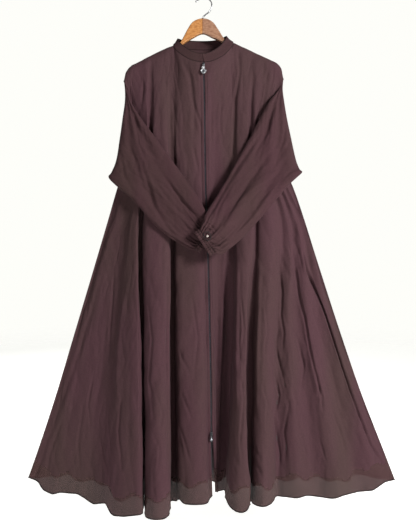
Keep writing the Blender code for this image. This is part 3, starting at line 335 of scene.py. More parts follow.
# The photograph's view: the camera is level, and one pixel is this wide in the hanger's plane
PIXEL = 0.00288
CAMERA = (0.01152, -1.6, -0.7537)
PICTURE_MIDDLE = (208.0, 260.0)
SENSOR_HEIGHT = 24.0
# The floor: its height, half width and glow, and the distances between which it fades out
FLOOR_Z = -1.62
FLOOR_HALF = 7.0
FLOOR_GLOW = 0.79
FLOOR_FADE = (1.6, 6.2)
# How strongly the surroundings shine, and each light's place, aim, size and power
AMBIENT = 0.06
LIGHTS = {
    "key": ((2.15, -2.05, 0.32), (0.0, 0.0, -0.80), (0.8, 0.8), 138.0),
    "fill": ((-2.7, -2.3, 0.25), (0.0, 0.0, -0.9), (1.2, 1.6), 19.0),
    "back": ((-1.6, 2.9, 0.5), (0.0, 0.0, -0.9), (1.6, 1.6), 50.0),
}

# Fine cloth: how thick it is
THIN_CLOTH = 0.0007
THIN_LINING = 0.0005

# Bands: their walls, the radius of the roll and of the near-black seam lines along them, which are painted shade, and
# how deep the seams lie
CUFF_WALL = 0.0014
CUFF_SEAM = 0.0008
SEAM_DEPTH = 0.0002
COLLAR_WALL = 0.0018
COLLAR_ROLL = 0.00125
COLLAR_SEAM = 0.0009
COLLAR_SEAM_DEPTH = 0.0003
# The steps between rows and between columns
ROW_STEP = 0.0076
COLUMN_STEP = 0.0056
FRONT_STEP = 0.0036
SLEEVE_STEP = (0.0032, 0.0040)
CUFF_STEP = (0.0009, 0.0011)
# The lining: how far inside it hangs, its rows, how far its lower edge wavers, and how far above
# that edge the panel's sheer border starts, both in rows of the panel
LINING_DEPTH = 0.0022
LINING_ROWS = 64
LINING_WAVE = 0.104
SHEER_LAP = 0.06
# The hem's roll, and its ripple: depth, how far up it reaches, and its waves' lengths and shares
HEM_ROLL = 0.0014
HEM_RIPPLE = 0.0012
RIPPLE_REACH = 0.035
RIPPLE_WAVES = ((0.043, 0.6), (0.027, 0.5), (0.071, 0.6))
# How far the hem may move to its edge in the photograph, how many pixels off it may be, over how
# many columns the change beside it spreads, and how far up it reaches
HEM_CHANGE = (-0.026, 0.022)
HEM_MATCH = 13.0
HEM_BLEND = 9
HEM_REACH = 0.075
# A sleeve head's seam allowance: how far inward, how many times as wide, and how far up it lies
ALLOWANCE = (0.0030, 1.15, 0.0042)
# Wandering creases: how many, and their depth in millimetres. The seeds are the sleeves'
PANEL_WANDER = (60, 1.3)
SLEEVE_WANDER = (26, 1.3)
WANDER_SEED, GATHER_SEED, CRUMPLE_SEED = 41, 51, 61

# Creases of the fronts: width in pixels, depth in millimetres (a ridge is negative), then the
# pixels that the crease runs through
BODY_CREASES = (
    (2.4, 1.8, (170, 92), (170, 126), (172, 166)),
    (2.2, 4.2, (149, 82), (150, 120), (150, 150)),
    (1.8, 2.2, (143, 79), (142, 103)),
    (2.8, 3.6, (181, 56), (190.5, 78), (194, 108), (194, 140)),
    (2.3, 3.4, (238, 48), (240, 71), (235, 99), (233, 166)),
    (2.4, 4.4, (253, 72), (251, 104), (250, 150)),
    (1.5, 1.8, (212, 100), (211, 163)),
    (2.0, 2.4, (192, 99), (202, 129)),
    (2.0, 2.4, (192.6, 145), (199, 174)),
    (1.7, 2.0, (222, 92), (220, 124), (224, 150)),
    (1.2, 15.0, (303, 252), (308, 272), (315, 289), (326, 316), (336, 346), (346, 376), (358, 412), (371, 445),
     (386, 469)),
    (1.6, 5.0, (292, 247), (296, 272), (299, 297), (305, 320), (309, 345), (315, 372), (320, 392), (324, 414)),
    (1.2, 3.6, (316, 372), (320, 388), (317, 402)),
    (1.2, 3.6, (318, 384), (323, 398), (321, 410)),
    (1.5, 4.4, (281, 250), (280, 272), (282, 290), (281, 315), (284, 332), (282, 352)),
    (1.4, 4.2, (278, 330), (276, 346), (279, 362), (284, 380)),
    (1.4, 5.0, (272, 360), (276, 380), (279, 395), (275, 415), (277, 435), (280, 455), (279, 470)),
    (1.3, 3.8, (290, 398), (287, 416), (284, 432), (286, 448), (284, 462)),
    (1.2, 3.0, (280, 388), (291, 380)),
    (1.2, 3.0, (290, 400), (280, 412)),
    (1.4, 3.2, (298, 340), (304, 366), (301, 392)),
    (1.6, 3.0, (330, 404), (340, 430), (346, 452)),
    (1.4, 2.6, (264, 300), (268, 330), (264, 356)),
    (1.4, 3.0, (262, 384), (268, 404), (266, 430)),
    (1.3, 2.6, (300, 430), (306, 452), (303, 472)),
    (1.3, 2.6, (320, 440), (326, 462)),
    (1.3, 3.0, (252, 443), (261, 460)),
    (1.3, 3.0, (252, 457), (262, 474)),
    (3.4, 3.2, (101, 274), (86, 328), (68, 385), (54, 424)),
    (1.6, 2.6, (114, 270), (111, 318), (108, 364)),
    (1.6, 2.4, (92, 262), (84, 306), (76, 342)),
    (1.6, 3.0, (121, 396), (118, 430), (122, 470)),
    (1.5, 2.6, (100, 436), (107, 478)),
    (2.0, 2.4, (84, 402), (78, 444), (80, 478)),
    (2.0, 2.4, (62, 420), (50, 452), (46, 476)),
    (1.4, 2.4, (94, 372), (88, 404), (91, 430)),
    (1.4, 2.8, (148, 300), (152, 340), (149, 380), (153, 420)),
    (1.3, 2.6, (155, 392), (163, 412), (160, 430)),
    (1.3, 2.6, (150, 428), (160, 450), (157, 474)),
    (1.4, 3.2, (178, 350), (190, 374)),
    (1.4, 3.2, (181, 393), (192, 420)),
    (1.4, 3.0, (180, 428), (190, 462)),
    (1.4, 2.6, (193, 300), (198, 340), (194, 372)),
    (1.4, 2.6, (201, 400), (206, 436), (202, 470)),
    (1.4, 3.0, (241, 296), (244, 330), (241, 352)),
    (1.4, 3.0, (240, 372), (244, 400), (240, 440), (243, 466)),
    (1.9, 6.0, (167.5, 256), (167, 300), (167, 345), (168, 400), (168, 480)),
    (1.5, 4.0, (140, 262), (139.5, 345), (140.5, 400), (141, 476)),
    (3.8, 14.0, (228, 262), (226, 345), (223, 410), (221, 480)),
    (2.0, -4.0, (238, 262), (237, 345), (237, 410)),
    (2.4, 14.0, (252, 256), (250, 300), (249, 345), (248.5, 400), (249, 440), (251, 480)),
    (2.0, -4.0, (260, 262), (258, 345), (257, 410)),
    (3.0, -3.0, (124, 296), (118, 345), (116, 410)),
)
SLEEVE_LINES = {
    "right": (
        (3.0, 4.6, (140, 158), (154, 206), (178, 242)),
        (3.0, 3.6, (128, 140), (143, 186), (166, 226)),
        (2.6, 3.8, (150, 176), (172, 204), (196, 226)),
        (2.2, 3.0, (160, 172), (184, 203), (202, 224)),
        (1.8, 2.4, (168, 182), (190, 212)),
        (1.7, -2.4, (150, 218), (168, 233), (190, 245)),
        (2.6, 3.0, (134, 108), (138, 142), (150, 170)),
        (2.4, 2.6, (120, 150), (124, 176), (136, 196)),
        (2.2, 2.8, (158, 210), (178, 232), (196, 244)),
        (1.8, 2.2, (176, 214), (188, 228), (200, 236)),
    ),
    "left": (
        (3.2, 4.6, (262, 132), (237, 168), (206, 220)),
        (3.4, 3.8, (272, 150), (244, 190), (214, 230)),
        (3.6, 3.8, (288, 158), (256, 206), (226, 238)),
        (2.4, 3.0, (274, 104), (266, 134), (252, 158)),
        (2.2, 2.6, (286, 112), (284, 140), (274, 164)),
        (2.4, 2.8, (270, 190), (250, 218), (232, 238)),
        (2.0, 2.6, (236, 178), (222, 202), (212, 226)),
        (1.8, 2.4, (252, 176), (234, 206), (220, 230)),
        (1.8, 2.2, (262, 212), (244, 230), (226, 244)),
        (1.0, 4.2, (208, 240.5), (213, 244.5), (222, 246.5), (232, 242)),
        (1.1, 4.6, (208, 247.5), (214, 251), (222, 252), (232, 247.5), (243, 239)),
        (1.2, -2.6, (211, 246.5), (220, 249.5), (230, 245.5)),
        (0.9, 3.2, (203, 230), (207, 228.4), (212, 231), (214, 235)),
        (0.9, 3.6, (206, 240), (211, 239), (217, 241)),
        (1.0, 3.0, (206, 222), (212, 226), (216, 232)),
        (1.0, -2.2, (204, 226), (210, 227), (214, 231)),
        (1.0, 2.8, (217, 233), (222, 239), (229, 240)),
    ),
}

# Small creases all over the cloth: width and length of a patch, slant, depth in metres, sharpness
CRUMPLES = (
    (0.060, 0.300, 0.10, 0.0026, 2.0),
    (0.029, 0.120, -0.22, 0.0017, 2.8),
    (0.015, 0.060, 0.30, 0.0012, 2.8),
    (0.009, 0.040, -0.45, 0.0008, 2.8),
)
# Between these heights the bodice's folds soften upwards, over so many columns
SOFT_HEIGHTS = (-0.44, -0.24)
SOFT_BLUR = 9
# The hem's edge in the photograph, in pixels, where a front faces the camera
HEM_EDGE = {
    "front_right": ((28.5, 477.3), (39.2, 481.8), (41.4, 488.9), (52.1, 494.3), (60.2, 492.3), (78, 493.8),
                    (93.2, 504.1), (105.7, 502.8), (108.4, 509.5), (112, 515.3), (122.7, 516.6), (139.6, 514.8),
                    (143.4, 513), (145, 516.5), (148, 518.4), (154, 519.6), (160, 519.6), (166, 518), (168.6, 515.5),
                    (169.8, 511), (179.6, 498), (181, 501.5), (184, 503.8), (190, 504.6), (200, 504.6), (206, 503.8),
                    (210, 500.5), (212.4, 494)),
    "front_left": ((215.8, 491.6), (224.6, 489.6), (225.6, 497), (227.6, 503), (231, 508), (235, 511), (240, 512.6),
                   (244, 512.4), (248, 509.6), (249.6, 504), (250.4, 500), (252.6, 503.4), (257, 505.8), (262, 506.6),
                   (267, 506), (271, 504), (274, 500.4), (275.4, 496), (284, 496.6), (296.8, 498.3),
                   (307.5, 495.2), (333.9, 498.8), (343.8, 495.2), (358, 491.6), (373.2, 490.3),
                   (384.8, 481.8), (394.8, 479.6)),
}

# A sleeve's open edges: how far they are tucked inward, and by what share towards the middle plane
SEAM_TUCK = (0.0030, 0.22)
# Gathers round the cuff: how many, how deep, where deepest, and how far up the sleeve they reach
GATHERS = 26
GATHER_DEPTH = 0.0040
GATHER_PEAK = 0.010
GATHER_REACH = 0.036
# The share of the cuff's length that is a ruffle, and how far the loop stands in front of it
RUFFLE = 0.38
LOOP_RAISE = 0.0016

# A front edge's lap over the zip's tape, sideways and forward, and the share left below the zip
LAP = (0.0019, 0.0011)
LAP_BELOW = 0.8
# Zip teeth: width, depth and height, and the step from one to the next on the same side
TOOTH = (0.0034, 0.0013, 0.0011)
TOOTH_PITCH = 0.0021
# How far apart the meshed teeth stand, how far the open ones stand from their edge and how long
# they are beside the meshed ones, and where their rows start under the slider
TOOTH_APART = 0.0009
OPEN_TOOTH = 0.0020
OPEN_LENGTH = 0.8
OPEN_START = 0.006
# Stitches: length, width and thickness, the gap between them, and their distance from the edge
STITCH = (0.0024, 0.0006, 0.0003)
STITCH_GAP = 0.0010
STITCH_INSET = 0.0075


def smooth(knots, values, at):
    """A smooth curve through the values at rising knots, read at the places given."""
    knots = np.asarray(knots, float)
    values = np.asarray(values, float)
    at = np.clip(np.asarray(at, float), knots[0], knots[-1])
    slopes = np.gradient(values, knots, axis=0)
    i = np.clip(np.searchsorted(knots, at, side="right") - 1, 0, len(knots) - 2)
    width = knots[i + 1] - knots[i]
    t = (at - knots[i]) / width
    shape = (-1,) + (1,) * (values.ndim - 1)
    t, width = t.reshape(shape), width.reshape(shape)
    start = (2 * t**3 - 3 * t**2 + 1) * values[i] + (t**3 - 2 * t**2 + t) * width * slopes[i]
    end = (3 * t**2 - 2 * t**3) * values[i + 1] + (t**3 - t**2) * width * slopes[i + 1]
    return start + end


def fold_share(z):
    return np.interp(z, FOLD_HEIGHTS, FOLD_SHARES)


def shoulder_z(x):
    xs, heights = np.array(SHOULDER["right" if x < 0 else "left"]).T
    return float(np.interp(abs(x), abs(xs), heights))


def neckline(angle):
    """A point of the neckline; the angle is 0 at centre front and grows towards +X."""
    forward = math.cos(angle)
    share = abs(forward) ** 1.5
    y = forward * NECK_FRONT_Y if forward > 0 else -forward * NECK_BACK_Y
    side_z = NECK_SIDE_Z + NECK_TILT * math.sin(angle)
    end_z = NECK_FRONT_Z if forward > 0 else NECK_BACK_Z
    return np.array((NECK_X + NECK_HALF * math.sin(angle), y, side_z * (1 - share) + end_z * share))


def top_rows(x, front):
    """The first three points of a panel's line: at the seam, on the wrap and under it."""
    out = -1.0 if front else 1.0
    across = (x - NECK_X) / NECK_HALF
    if abs(across) < 0.99:
        angle = math.asin(across) if front else math.pi - math.asin(across)
        seam = neckline(angle)
        drops = (0.0,) + NECK_DROPS
        return [seam + np.array((0.0, out * NECK_FLARE * i, -drop)) for i, drop in enumerate(drops)]
    z = shoulder_z(x)
    seam_y = FLAT_SEAM_Y if abs(across) < 1.01 else HALF_SEAM
    return [
        np.array((x, out * seam_y, z)),
        np.array((x, out * WRAP_FLAT, z)),
        np.array((x, out * WRAP_DEPTH, z - WRAP_DROP)),
    ]


def armhole_depth(z, side):
    """How far the armhole's edge is from the hanger's plane, closing at the underarm."""
    top_z = ARMHOLE[side][0][0]
    down = min(max((top_z - z) / (top_z - UNDERARM_Z), 0.0), 1.0)
    open_top = WRAP_DEPTH + (ARMHOLE_DEPTH - WRAP_DEPTH) * min(down * 3, 1.0)
    closing = math.sqrt(max(0.0, 1.0 - max(0.0, (down - 0.72) / 0.28) ** 2))
    return FLAT_SEAM_Y + (open_top - FLAT_SEAM_Y) * closing


def armhole_x(z, side):
    return float(np.interp(z, *np.array(ARMHOLE[side][::-1]).T))


def armhole_heights(side):
    """The heights of a panel's rows along the armhole, from under the wrap to the underarm."""
    first = ARMHOLE[side][0][0] - WRAP_DROP
    return [first + (UNDERARM_Z - first) * share for share in (0.0,) + UPPER_ROWS]


def lower_heights(hem_z):
    return [UNDERARM_Z + (hem_z - UNDERARM_Z) * share for share in LOWER_ROWS]


def fold_line(row, front):
    """The points of one fold line from the top seam to the hem."""
    x_top, x_under, x_waist, x_hip, x_hem, depth, hem_z = row
    out = -1.0 if front else 1.0
    top = top_rows(x_top, front)
    start = top[-1]
    heights = [start[2] + (UNDERARM_Z - start[2]) * share for share in UPPER_ROWS] + lower_heights(hem_z)
    heights = np.array(heights)
    knots = (hem_z, HIP_Z, WAIST_Z, UNDERARM_Z, start[2])
    xs = smooth(knots, (x_hem, x_hip, x_waist, x_under, start[0]), heights)
    hem_depth = FRONT_HEM_DEPTH if front else BACK_HEM_DEPTH
    valley = np.interp(heights, (hem_z, WAIST_Z), (hem_depth, BODICE_DEPTH))
    lean = (abs(start[1]) - BODICE_DEPTH) * np.exp((heights - start[2]) / 0.11)
    ys = out * (valley + lean + depth * fold_share(heights))
    return top + [np.array(point) for point in zip(xs, ys, heights)]


def side_line(side, front, inset):
    """The armhole edge and the side seam under it; inset gives the flat strip beside it."""
    out = -1.0 if front else 1.0
    inward = INWARD[side]
    top_z, top_x = ARMHOLE[side][0]
    x_top = top_x + inward * inset
    rise = shoulder_z(x_top) - top_z if inset else 0.0
    points = [np.array((x_top, out * y, top_z - drop + rise)) for y, drop in
              ((HALF_SEAM, 0.0), (WRAP_FLAT, 0.0), (WRAP_DEPTH, WRAP_DROP))]
    for z in armhole_heights(side)[1:]:
        points.append(np.array((armhole_x(z, side) + inward * inset, out * armhole_depth(z, side), z)))
    heights, xs = np.array(SIDE_SEAM[side][::-1]).T
    for z in lower_heights(heights[0]):
        x = float(smooth(heights, xs, [z])[0])
        points.append(np.array((x + inward * inset, out * FLAT_SEAM_Y, z)))
    return points


def zip_place(z):
    rows = np.array(ZIP[::-1])
    return smooth(rows[:, 0], rows[:, 1:], [z])[0]


def front_edge(side, inset):
    """The front edge of a panel, beside the zip and then open under the lower slider."""
    outward = -INWARD[side]
    top = neckline(math.asin((ZIP[0][1] - NECK_X) / NECK_HALF))
    start_z = top[2] - NECK_DROPS[-1]
    heights = [top[2]] + [top[2] - drop for drop in NECK_DROPS]
    heights += [start_z + (UNDERARM_Z - start_z) * share for share in UPPER_ROWS]
    heights += lower_heights(FRONT_EDGE_HEM_Z)
    points = []
    for z in heights:
        x, y = zip_place(max(z, ZIP_END_Z))
        if z < ZIP_END_Z:
            down = (ZIP_END_Z - z) / (ZIP_END_Z - FRONT_EDGE_HEM_Z)
            x += (OPEN_EDGE[side][0] - outward * ZIP_EDGE - x) * down
            y += (OPEN_EDGE[side][1] - y) * down
        points.append(np.array((x + outward * (ZIP_EDGE + inset), y, z)))
    return points


def sleeve_section(side, row, seam_z):
    """One section of a sleeve: from the rear armhole edge round the outer fold, across the front
    layer, round the inner fold and back behind it to the front armhole edge."""
    out_x, out_z, in_x, in_z, stand_out, stand_in, seam = row
    inward = INWARD[side]
    out_end, in_end = np.array((out_x, out_z)), np.array((in_x, in_z))
    span = np.linalg.norm(in_end - out_end)
    fold = min(SLEEVE_FOLD, span * 0.3) / span

    def place(share, forward):
        x, z = out_end + (in_end - out_end) * share
        eased = 1.0 - (1.0 - share) ** 3
        return np.array((x, -(stand_out + (stand_in - stand_out) * eased + forward), z))

    front = [place(fold, SLEEVE_FULL)]
    for share in FRONT_LAYER:
        crease = SLEEVE_CREASES[1] * min(span / 0.1, 1.0) * math.sin(share * SLEEVE_CREASES[0] * 2 * math.pi)
        front.append(place(fold + (1.0 - 2 * fold) * share, SLEEVE_FULL + crease))
    front.append(place(1.0 - fold, SLEEVE_FULL))
    rear = [place(1.0 - fold, 0.0)] + [place(1.0 - share, 0.0) for share in REAR_LAYER]
    pleat = [place(1.0 - share, 0.0) for share in REAR_PLEAT]
    outer, inner = place(0.0, SLEEVE_FULL / 2), place(1.0, SLEEVE_FULL / 2)
    tube = pleat[3:] + [place(fold, 0.0), outer] + front + [inner] + rear + pleat[:4]
    if not seam:
        return tube

    closed = seam_z <= UNDERARM_Z
    depth = 0.0 if closed else armhole_depth(seam_z, side)
    spread = max(depth, 0.004)
    outward = np.array((-inward, 0.0, 0.0))
    edge = np.array((armhole_x(seam_z, side), 0.0, seam_z)) + outward * EDGE_GAP
    turn_rear = edge + outward * TURN_IN + FORWARD * ARMHOLE_TURN
    turn_tip = edge + outward * TURN_OUT + FORWARD * (spread + ARMHOLE_TURN) / 2
    back_strip = edge + outward * CAP_STRIP - FORWARD * spread
    front_strip = edge + outward * CAP_STRIP + FORWARD * spread
    behind = []
    for share in CAP_REAR:
        point = rear[0] + (turn_rear - rear[0]) * share
        point[1] = rear[0][1] + (turn_rear[1] - rear[0][1]) * share**3
        behind.append(point)
    out_back = np.array((out_x + inward * SLEEVE_FOLD * 0.4, spread * 0.6, out_z))
    out_tip = np.array((out_x, (spread * 0.6 + front[0][1]) / 2, out_z))
    rear_half = [edge - FORWARD * depth, back_strip, (back_strip + out_back) / 2, out_back, out_tip]
    folded = [inner, rear[0]] + behind + [turn_rear, turn_tip, front_strip, edge + FORWARD * depth]
    straight = np.linspace(front[-1], folded[-1], len(folded) + 1)[1:]
    lap = min(max(inward * (in_x - edge[0]) / FULL_LAP, 0.0), 1.0)
    front_half = [plain + (point - plain) * lap for plain, point in zip(straight, folded)]
    opened = rear_half + front + front_half
    return [flat + (point - flat) * seam for flat, point in zip(tube, opened)]


def cap_arc(side, count):
    """The top of the armhole, where the sleeve's head is sewn on, from back to front."""
    top_z = ARMHOLE[side][0][0] - CAP_DROP
    points = []
    for share in np.linspace(-1.0, 1.0, count):
        z = top_z - (CAP_ENDS - CAP_DROP) * abs(share) ** 2.2
        x = armhole_x(z + CAP_DROP * (1.0 - abs(share)), side)
        points.append(np.array((x + math.copysign(EDGE_GAP + CLOTH / 2, x), -share * WRAP_DEPTH, z)))
    return points


def cuff_frame(side):
    """The cuff's inner corner, the direction across it and the one out of the sleeve."""
    row = SLEEVE_ROWS[side][-1]
    along = np.array((row[0] - row[2], 0.0, row[1] - row[3]))
    along /= np.linalg.norm(along)
    axis = np.cross(along, (0.0, 1.0, 0.0)) * INWARD[side]
    return np.array((row[2], 0.0, row[3])), along, axis


def front_layer_y(side, sections, place):
    """The depth of the sleeve's front layer near the cuff, read at a place's x and z."""
    inner, along, axis = cuff_frame(side)
    ups, depths = [], []
    for section in sections:
        points = np.array(section)[FRONT_POINTS][::-1]
        run = (points - inner) @ along
        at = np.dot(place - inner, along)
        ups.append(np.interp(at, run, -(points - inner) @ axis))
        depths.append(np.interp(at, run, points[:, 1]))
    up = max(-np.dot(place - inner, axis), 0.0)
    return float(np.interp(up, ups[::-1], depths[::-1]))


def loop_route(side, sections, centre, count):
    """The points of the cord loop, which follows the sleeve round the button."""
    _, along, axis = cuff_frame(side)
    route = []
    for i in range(count):
        angle = 2 * math.pi * i / count
        place = centre + along * LOOP_HALF[0] * math.cos(angle) + axis * LOOP_HALF[1] * math.sin(angle)
        place[1] = front_layer_y(side, sections, place) - LOOP_CORD - LAYER_GAP
        route.append(place)
    return route


def wood_outline():
    """The hanger's outline from the front: over the top from tip to tip and back underneath."""
    right_arm, left_arm = [], []
    for side, store in (("right", right_arm), ("left", left_arm)):
        inward = INWARD[side]
        for x, z in SHOULDER[side][1:6]:
            store.append((x + inward * WOOD_CLEAR * 0.5, z - WOOD_CLEAR))
        store.append((SHOULDER[side][6][0] + inward * 0.0045, SHOULDER[side][6][1] - 0.005))
    over = right_arm[::-1] + list(WOOD_NECK) + left_arm
    lower_left = [(0.2130, left_arm[-1][1] - TIP_DEPTH), (0.1500, -0.1930), (0.1000, -0.1640)]
    lower_right = [(-0.1000, -0.1680), (-0.1500, -0.1970), (-0.2140, right_arm[-1][1] - TIP_DEPTH)]
    return over + lower_left + list(WOOD_UNDER) + lower_right


def summed(gaps):
    return np.concatenate(((0.0,), np.cumsum(gaps)))


def line_run(points):
    """How far each point of a line is from its start, along the line."""
    return summed(np.linalg.norm(np.diff(points, axis=0), axis=1))


def eased_in(count, steps):
    """For each of so many columns 1, but from 0 at both ends within some steps."""
    places = np.arange(count)
    return np.clip(np.minimum(places, places[::-1]) / steps, 0.0, 1.0)


def spread(counts):
    """Places along a line of knots, with so many steps in each gap."""
    parts = [i + np.arange(count) / count for i, count in enumerate(counts)]
    return np.concatenate(parts + [[float(len(counts))]])


def fine_surface(lines, row_step, column_step):
    """A fine grid through lines of points, with the place of each of its rows among those points
    and of each of its columns among the lines."""
    lines = np.array(lines)
    gaps = np.linalg.norm(np.diff(lines, axis=1), axis=2).mean(axis=0)
    knots = summed(gaps)
    places = spread(np.maximum(np.round(gaps / row_step).astype(int), 2))
    rows = smooth(knots, lines.transpose(1, 0, 2), np.interp(places, range(len(knots)), knots))
    gaps = np.linalg.norm(np.diff(rows, axis=1), axis=2)
    at = spread(np.clip(np.round(gaps.max(axis=0) / column_step), 2, 24).astype(int))
    grid = []
    for row, gap in zip(rows, gaps):
        knots = summed(np.sqrt(gap))
        grid.append(smooth(knots, row, np.interp(at, range(len(knots)), knots)))
    return np.array(grid), places, at


def grid_normals(grid, outward):
    down, across = np.gradient(grid, axis=0), np.gradient(grid, axis=1)
    normal = np.cross(down, across) if outward else np.cross(across, down)
    return normal / np.maximum(np.linalg.norm(normal, axis=2, keepdims=True), 1e-12)


def picture(points):
    """Where points lie in the photograph, in its pixels."""
    scale = (points[..., 1] - CAMERA[1]) / -CAMERA[1] * PIXEL
    across = PICTURE_MIDDLE[0] + (points[..., 0] - CAMERA[0]) / scale
    down = PICTURE_MIDDLE[1] - (points[..., 2] - CAMERA[2]) / scale
    return across, down


def crease_depth(across, down, creases):
    """How far each place is pushed in by the creases, in metres."""
    total = np.zeros(across.shape)
    for width, depth, *points in creases:
        lengths = [math.dist(a, b) for a, b in zip(points, points[1:])]
        best, share, run = np.full(across.shape, np.inf), np.zeros(across.shape), 0.0
        for (x0, y0), (x1, y1), length in zip(points, points[1:], lengths):
            t = ((across - x0) * (x1 - x0) + (down - y0) * (y1 - y0)) / length**2
            t = np.clip(t, 0.0, 1.0)
            away = np.hypot(across - x0 - t * (x1 - x0), down - y0 - t * (y1 - y0))
            share = np.where(away < best, (run + t * length) / sum(lengths), share)
            best = np.minimum(best, away)
            run += length
        near = (best / width) ** 2
        total += depth * 0.001 * (4 * share * (1 - share)) ** 0.6 * (1 - 0.8 * near) * np.exp(-near)
    return total


def wandering(grid, seed, count, depth):
    """Soft creases that run roughly along a grid's columns, at seeded places."""
    random = np.random.default_rng(seed)
    across, down = picture(grid)
    rows, columns = across.shape
    creases = []
    for _ in range(count):
        start, length = random.uniform(0.0, 0.9), random.uniform(0.08, 0.34)
        column, drift = random.uniform(0.05, 0.95), random.uniform(-0.05, 0.05)
        bow = random.uniform(-0.012, 0.012)
        points = []
        for share in (0.0, 0.5, 1.0):
            i = int(min(start + length * share, 0.99) * (rows - 1))
            j = int(np.clip(column + drift * share + bow * (share == 0.5), 0.0, 1.0) * (columns - 1))
            points.append((across[i, j], down[i, j]))
        if min(math.dist(a, b) for a, b in zip(points, points[1:])) > 1.0:
            creases.append((random.uniform(2.0, 5.0), depth * random.uniform(-0.6, 1.0), *points))
    return creases


def lattice(random, u, v):
    """Smooth seeded noise between 0 and 1 over a plane, one cell to each unit."""
    u, v = u - u.min(), v - v.min()
    values = random.uniform(0.0, 1.0, (int(u.max()) + 3, int(v.max()) + 3))
    i, j = u.astype(int), v.astype(int)
    s, t = u - i, v - j
    s, t = s * s * (3 - 2 * s), t * t * (3 - 2 * t)
    near = values[i, j] * (1 - s) + values[i + 1, j] * s
    far = values[i, j + 1] * (1 - s) + values[i + 1, j + 1] * s
    return near * (1 - t) + far * t


def crumple(grid, seed):
    """The small creases all over worn cloth, as a depth at each point of a grid."""
    random = np.random.default_rng(seed)
    u = np.cumsum(np.pad(np.linalg.norm(np.diff(grid, axis=1), axis=2), ((0, 0), (1, 0))), axis=1)
    v = np.cumsum(np.pad(np.linalg.norm(np.diff(grid, axis=0), axis=2), ((1, 0), (0, 0))), axis=0)
    u = u - u[:, -1:] / 2
    total = np.zeros(u.shape)
    for wide, long, slant, depth, sharp in CRUMPLES:
        bend = 0.9 * lattice(random, u / (wide * 3), v / (long * 0.7))
        value = lattice(random, (u + slant * v) / wide + bend, v / long)
        total += depth * ((1.0 - np.abs(2 * value - 1.0)) ** sharp - 0.4)
    return total


def creased(grid, outward, creases, seed):
    """The grid pushed in along its normals by the creases, by wandering ones and by small ones."""
    normals = grid_normals(grid, outward)
    across, down = picture(grid)
    depths = crease_depth(across, down, list(creases) + wandering(grid, seed, *PANEL_WANDER))
    depths += crumple(grid, seed + 5)
    depths *= eased_in(grid.shape[1], 3.0)
    depths *= np.clip(np.arange(grid.shape[0]) / 8.0, 0.0, 1.0)[:, None]
    return grid - normals * depths[..., None]


def hemmed(grid, outward, edge):
    """The last rows lengthened or shortened until the hem follows its edge in the photograph."""
    normals = grid_normals(grid, outward)
    across, down = picture(grid[-1])
    wanted = np.interp(across, *np.array(edge).T)
    scale = (grid[-1, :, 1] - CAMERA[1]) / -CAMERA[1] * PIXEL
    change = np.clip((down - wanted) * scale, *HEM_CHANGE)
    faces = np.clip((-normals[-6, :, 1] - 0.15) / 0.3, 0.0, 1.0) * (np.abs(down - wanted) < HEM_MATCH)
    reach = np.arange(-HEM_BLEND * 2, HEM_BLEND * 2 + 1)
    spread_out = np.exp(-(reach / HEM_BLEND) ** 2)
    total = np.convolve(change * faces, spread_out, mode="same")
    beside = total / np.maximum(np.convolve(faces, spread_out, mode="same"), 0.3)
    change = change * faces + beside * (1.0 - faces)
    change = np.convolve(np.pad(change, 2, mode="edge"), (0.12, 0.2, 0.36, 0.2, 0.12), mode="valid")
    up = np.linalg.norm(grid - grid[-1], axis=2)
    grid = grid.copy()
    grid[..., 2] += change * np.exp(-up / HEM_REACH)
    return grid


def softened(grid):
    """The folds made rounder and shallower towards the shoulders, where the cloth lies smooth."""
    rows, columns = grid.shape[:2]
    reach = 2 * SOFT_BLUR
    kernel = np.exp(-(np.arange(-reach, reach + 1) / SOFT_BLUR) ** 2)
    wide = np.pad(grid, ((0, 0), (reach, reach), (0, 0)), mode="edge")
    blurred = sum(weight * wide[:, k:k + columns] for k, weight in enumerate(kernel / kernel.sum()))
    share = np.clip((grid[..., 2] - SOFT_HEIGHTS[0]) / (SOFT_HEIGHTS[1] - SOFT_HEIGHTS[0]), 0.0, 1.0)
    share *= np.clip(np.arange(rows) / 10.0, 0.0, 1.0)[:, None]
    share *= eased_in(columns, 12.0)
    return grid + (blurred - grid) * share[..., None]


def lapped(grid, name):
    """The front edge brought over the zip's tape, down to where the zip ends."""
    side = 1.0 if name == "front_right" else -1.0
    edge = -1 if side > 0 else 0
    down = LAP_BELOW + (1.0 - LAP_BELOW) * np.clip((grid[:, edge, 2] - ZIP_END_Z) / 0.02, 0.0, 1.0)
    grid = grid.copy()
    for column, share in ((edge, 1.0), (edge - int(side), 0.7), (edge - 2 * int(side), 0.3)):
        grid[:, column, 0] += side * LAP[0] * share * down
        grid[:, column, 1] -= LAP[1] * share * down
    return grid


def rippled(grid, outward, seed):
    """The last rows moved in and out a little, as a rolled hem flutters."""
    random = np.random.default_rng(seed)
    normals = grid_normals(grid, outward)
    run = line_run(grid[-1])
    wave = sum(np.sin(run / length * 2 * math.pi + random.uniform(0, 6.28)) * share
               for length, share in RIPPLE_WAVES)
    wave *= np.clip(np.minimum(run, run[-1] - run) / 0.02, 0.0, 1.0)
    up = np.linalg.norm(grid - grid[-1], axis=2)
    return grid + normals * (HEM_RIPPLE * wave * np.exp(-up / RIPPLE_REACH))[..., None]


def joined(grid):
    """The shoulder and side seams closed: edges beside the middle plane are brought onto it."""
    grid = grid.copy()
    for edge in (grid[0], grid[:, 0], grid[:, -1]):
        edge[np.abs(edge[:, 1]) < FLAT_SEAM_Y * 1.5, 1] = 0.0
    return grid


